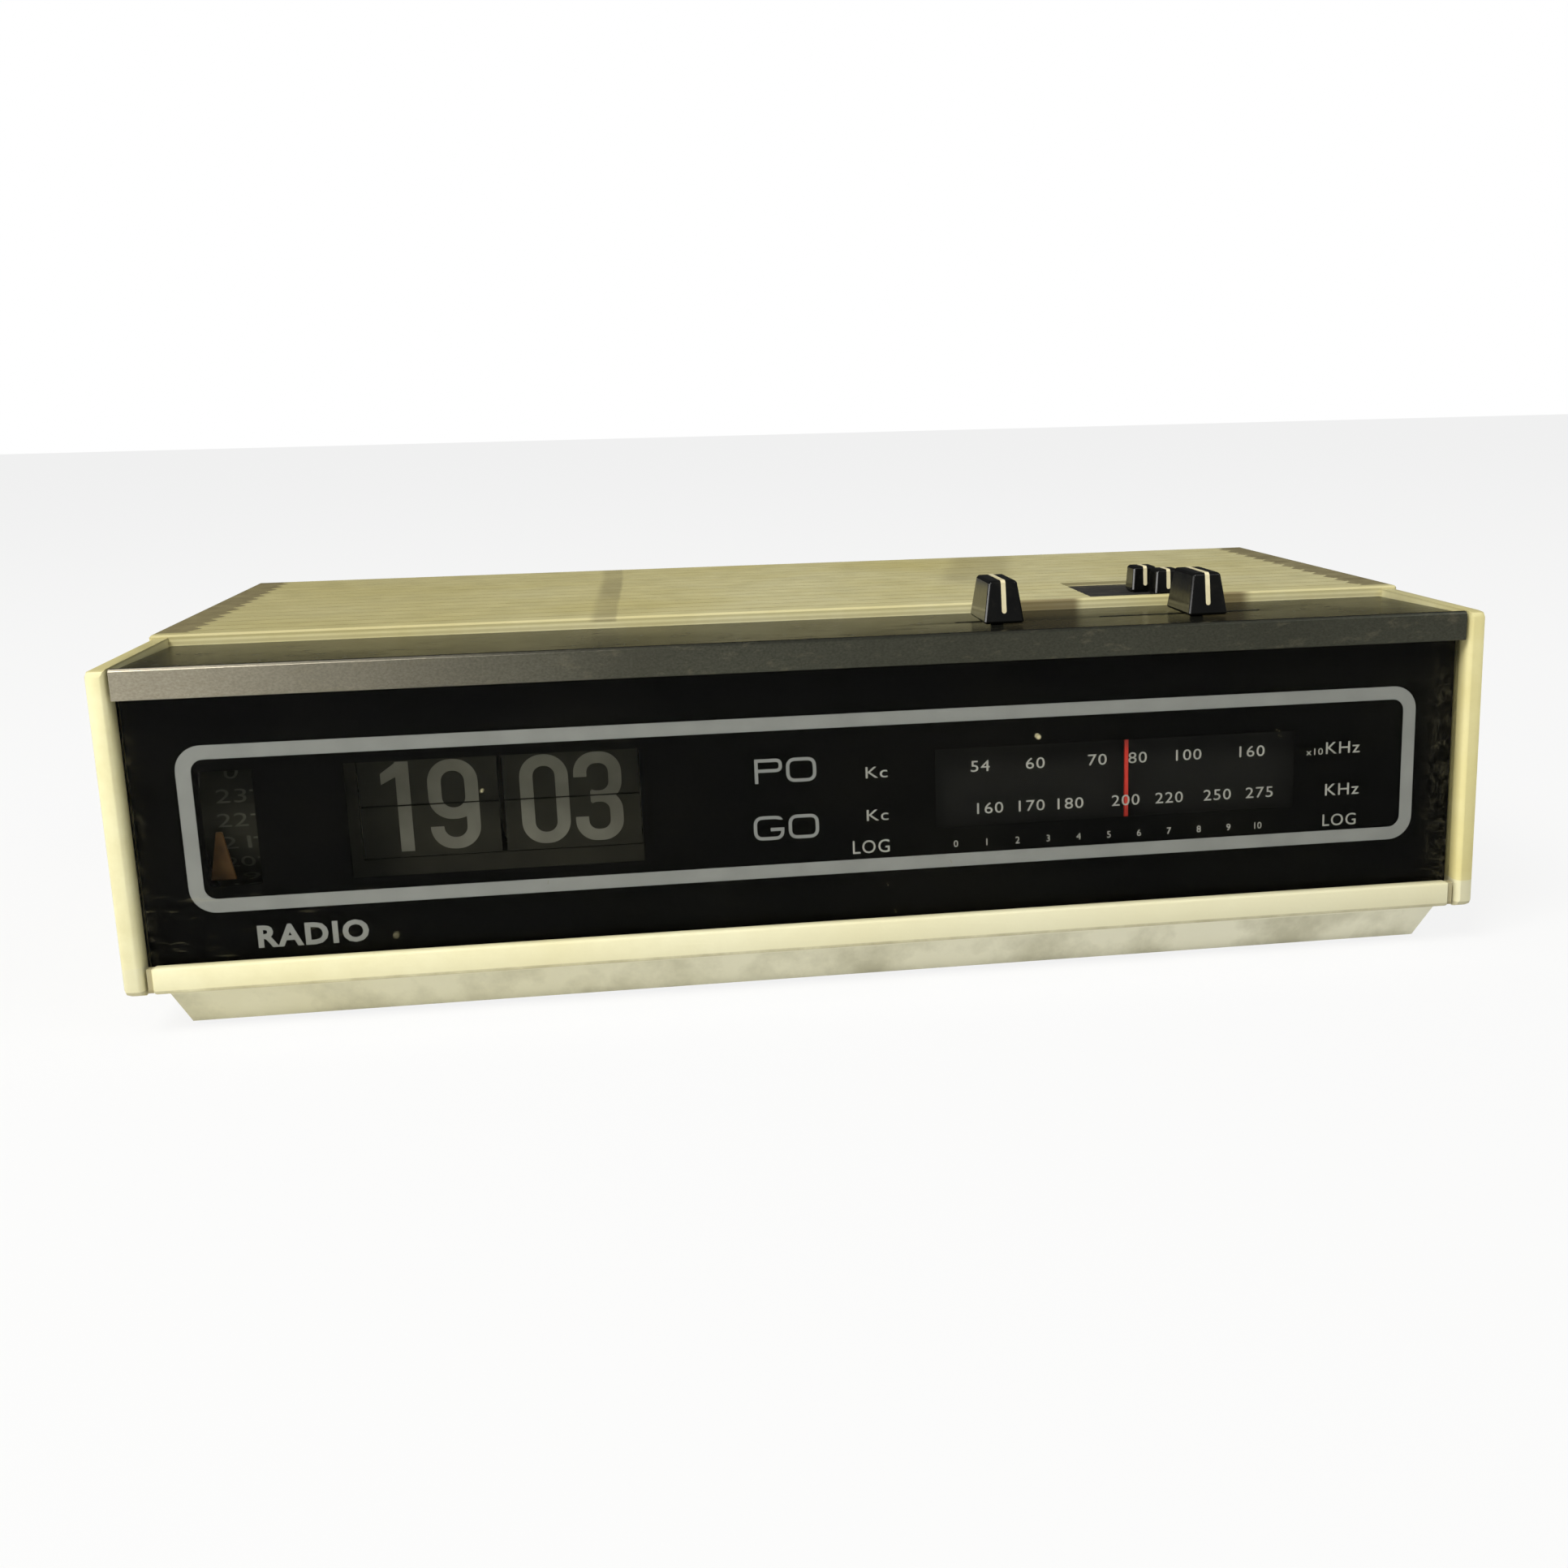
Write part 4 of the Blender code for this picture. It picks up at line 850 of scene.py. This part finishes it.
def make_leaf_numbers():
    """The shown hour and minute, and the next ones behind and on the back of the falling leaves."""
    places = {"hour": ((-0.1004, -0.0941), (-0.0902, -0.0790)),
              "minute": ((-0.0697, -0.0587), (-0.0575, -0.0466))}
    next_places = {"hour": ((-0.1014, -0.0904), (-0.0890, -0.0780)), "minute": places["minute"]}
    for ring_name, now, following in (("hour", "19", "20"), ("minute", "03", "04")):
        body = ring_name + "_leaf"
        front = LEAF_BACK[0] - INK_THICKNESS
        rows = [("now_upper", now, places, True, front, body, False),
                ("now_lower", now, places, False, front, "case", False),
                ("next_upper", following, next_places, True, front + NEXT_LEAF_DEEPER, "case", False),
                ("next_lower", following, next_places, False, LEAF_BACK[1] + INK_THICKNESS, body, True)]
        for part, text, spots, above, back, rides, on_back in rows:
            shape = number_shape(text, spots[ring_name], above)
            for vertex in shape.verts:
                point = vertex.co
                if on_back:
                    # Printed on the falling leaf's back, so it reads once the leaf has dropped
                    vertex.co = at(point.x, back - point.y, 2 * CLOCK_UP - point.z)
                else:
                    vertex.co = at(point.x, back + point.y, point.z)
            name = f"{ring_name}_number_{part}"
            add_piece(name, mesh_from(name, shape), LEAF_INK, rides)


def make_clock_surround():
    """The dark plate round the leaves, which fills the window beside and below them."""
    thickness, back = 0.0006, 0.0196
    outline = round_rect((-0.1118, -0.0388), (0.0150, 0.0500), 0.001, 3)
    hole = rect((-0.1056, -0.0424), (0.0221, 0.0469))
    shape = thicken(flat_shape([([outline], [hole])]), thickness)
    for vertex in shape.verts:
        vertex.co = at(vertex.co.x, back + vertex.co.y, vertex.co.z)
    add_piece("clock_surround", mesh_from("clock_surround", shape), LOOKS["leaf"], "case")


def make_alarm_numbers():
    """The 24 hours, printed round the alarm drum, each with a tick; 22 faces the front at rest."""
    radius = 0.0205
    axis_back = 0.0344
    front_hour, hour_angle = 22, 15
    number_x, number_height = -0.1318, 0.0031
    tick_outline = rect((-0.1279, -0.1262), (0.0008, 0.0012))
    shape = bmesh.new()
    for hour in range(24):
        angle = math.radians(hour_angle * (hour - front_hour) + 0.3)
        part = bmesh.new()
        text_shape(part, str(hour), (number_x, 0.0), number_height, 0.0066 if hour > 9 else 0.0031)
        tick = flat_shape([([tick_outline], [])])
        scrap = bpy.data.meshes.new("tick")
        tick.to_mesh(scrap)
        tick.free()
        part.from_mesh(scrap)
        bpy.data.meshes.remove(scrap)
        thicken(part, -INK_THICKNESS)
        for vertex in part.verts:
            turn = angle + vertex.co.z / radius
            reach = radius - vertex.co.y
            back, up = axis_back - reach * math.cos(turn), CLOCK_UP + reach * math.sin(turn)
            vertex.co = at(vertex.co.x, back, up)
        scrap = bpy.data.meshes.new("number")
        part.to_mesh(scrap)
        part.free()
        shape.from_mesh(scrap)
        bpy.data.meshes.remove(scrap)
    add_piece("alarm_numbers", mesh_from("alarm_numbers", shape), DRUM_INK, "alarm_drum")


# ---------------------------------------------------------------- knobs

# Slider knobs: base level, depth, height, how far the front leans back, and half the line's width
LARGE = (0.0702, 0.0185, 0.0100, 0.0016, 0.00055)
SMALL = (0.0710, 0.0073, 0.0066, 0.0004, 0.00050)
SLIDERS = (("function", 0.0440, 0.0278, LARGE), ("volume", 0.0936, 0.0278, LARGE),
           ("band", 0.0915, 0.0677, SMALL), ("tone", 0.0949, 0.0582, SMALL))


def make_inlay(name, x, back, size):
    """The cream line over a slider knob's top and down its front, with a round lower end."""
    level, depth, height, lean, half_width = size
    top_half = depth / 2 - lean
    slope = math.atan2(lean, height)
    edge = 0.0005
    front_normal = Vector((-math.cos(slope), math.sin(slope)))
    corner = Vector((-top_half, height))
    down = Vector((-math.sin(slope), -math.cos(slope)))
    stations = [(Vector((top_half - edge, height)), Vector((0, 1)), half_width),
                (Vector((-top_half + edge, height)), Vector((0, 1)), half_width),
                (corner + down * edge, front_normal, half_width)]
    # The line stops at 0.76 of the way down the front, in a half circle that ends in a hair's width
    end = 0.76 * height / math.cos(slope)
    narrowest = 0.00002
    for step in range(7):
        turn = math.radians(15 * step)
        past = half_width * math.sin(turn)
        stations.append((corner + down * (end - half_width + past), front_normal,
                         max(half_width * math.cos(turn), narrowest)))
    rise, sink = 0.00006, 0.0003
    shape = bmesh.new()
    rings = []
    for point, normal, half in stations:
        outer, inner = point + normal * rise, point - normal * sink
        rings.append([shape.verts.new(at(x + side * half, back + place.x, level + place.y))
                      for side, place in ((-1, outer), (1, outer), (1, inner), (-1, inner))])
    for first, second in zip(rings, rings[1:]):
        for index in range(4):
            following = (index + 1) % 4
            shape.faces.new((first[index], first[following], second[following], second[index]))
    shape.faces.new(rings[0])
    shape.faces.new(rings[-1])
    line = f"{name}_line"
    add_piece(line, mesh_from(line, shape), CREAM_LINE, f"{name}_knob")


# Side knobs: node, side, back, up, radius, neck radius, where the neck ends and how many flutes
TIME_SHAFT_END = abs(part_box("time_knob")[1].x)
SIDE_KNOBS = (("tuning_knob", 1, 0.0450, 0.0505, 0.0150, 0.0028, 0.1597, 30),
              ("alarm_knob", -1, 0.0344, 0.0344, 0.0120, 0.0028, 0.1597, 24),
              ("time_knob", -1, 0.0664, 0.0344, 0.0090, 0.0020, TIME_SHAFT_END, 20))
# Distances out from the case's middle of a side knob's inner and outer faces
SIDE_KNOB_OUT = (0.1555, 0.1616)


def make_side_knob(node, side, back, up, radius, neck, neck_end, flutes):
    """A round side knob with a fluted rim, a dished face with a pointer line, and its bore or shaft."""
    inner, outer = SIDE_KNOB_OUT
    rim = 0.0008
    # Radius, distance out from the case's middle, and how much of the flutes' depth shows
    profile = [(0.0, outer - 0.0011, 0), (radius * 0.55, outer - 0.0010, 0),
               (radius * 0.70, outer - 0.0004, 0), (radius * 0.76, outer, 0), (radius - rim, outer, 0.3),
               (radius - 0.3 * rim, outer - 0.3 * rim, 0.8), (radius, outer - rim, 1),
               (radius, inner + 0.0012, 1), (radius - 0.0002, inner + 0.0004, 0.7),
               (radius - 0.0006, inner, 0), (neck, inner, 0), (neck, neck_end, 0)]
    depth = 0.00045
    sides = flutes * 6
    shape = bmesh.new()
    rings = []
    for ring_radius, out, share in profile[1:]:
        loop = []
        for step in range(sides):
            angle = 2 * math.pi * step / sides
            reach = ring_radius - depth * share * (0.5 - 0.5 * math.cos(angle * flutes))
            place = at(side * out, back + reach * math.cos(angle), up + reach * math.sin(angle))
            loop.append(shape.verts.new(place))
        rings.append(loop)
    for first, second in zip(rings, rings[1:]):
        for step in range(sides):
            following = (step + 1) % sides
            shape.faces.new((first[step], first[following], second[following], second[step]))
    middle = shape.verts.new(at(side * profile[0][1], back, up))
    for step in range(sides):
        shape.faces.new((middle, rings[0][step], rings[0][(step + 1) % sides]))
    shape.faces.new(rings[-1])
    add_piece(f"{node}_cap", mesh_from(f"{node}_cap", shape, 40), LOOKS["black_plastic"], BODY_OF[node],
              [node])
    mark = bmesh.new()
    bmesh.ops.create_cube(mark, size=1.0)
    for vertex in mark.verts:
        vertex.co = at(side * (outer - 0.00095 + 0.0006 * vertex.co.x), back + 0.0010 * vertex.co.y,
                       up + radius * (0.40 + 0.42 * vertex.co.z))
    name = f"{node}_mark"
    line = add_piece(name, mesh_from(name, mark), CREAM_LINE, BODY_OF[node])
    soften(line, 0.0001)


# ---------------------------------------------------------------- everything

def dress_cad_nodes():
    """Gives every carried-over node the material of its slot."""
    for entry in frame["record"]["subparts"]:
        node = NODES[entry["node"]]
        node.data.materials.clear()
        node.data.materials.append(LOOKS[entry["material_slot"]])
    NODES["dial_plate"].data.materials[0] = DIAL_BACK


def make_shells():
    """The outer pieces again in their own shapes, with moulded, rounded edges."""
    feet = [node for node in NODES if node.startswith("foot_")]
    for nodes, slot, width, segments in (
            (["upper_cabinet"], "ivory_plastic", 0.00022, 2),
            (["lower_cabinet", "rear_cover"], "ivory_plastic", 0.0003, 2),
            (["front_trim"], "grey_trim", 0.00010, 2),
            (["switch_plate"], "dark_plate", 0.0002, 2),
            (["function_knob", "volume_knob"], "black_plastic", 0.00018, 2),
            (["band_knob", "tone_knob"], "black_plastic", 0.00014, 2),
            (["cord_grommet"], "rubber", 0.0004, 3),
            (["alarm_index"], "amber", 0.0001, 2),
            (["dial_pointer"], "pointer_red", 0.0001, 2),
            (feet, "rubber", 0.0006, 3)):
        for node in nodes:
            refined(node, LOOKS[slot], width, segments)


make_camera()
make_surroundings()
make_floor()
dress_cad_nodes()
make_shells()
lens_low, lens_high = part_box("front_lens")
lens_x = (lens_low.x, lens_high.x)
lens_up = (lens_low.z - BASE, lens_high.z - BASE)
make_window(lens_x, lens_up)
make_window_mask(lens_x, lens_up)
make_frame_line()
make_band_names()
make_scale_print()
make_plain_word()
make_leaf_numbers()
make_alarm_numbers()
for slider in SLIDERS:
    make_inlay(*slider)
make_clock_surround()
for side_knob in SIDE_KNOBS:
    make_side_knob(*side_knob)
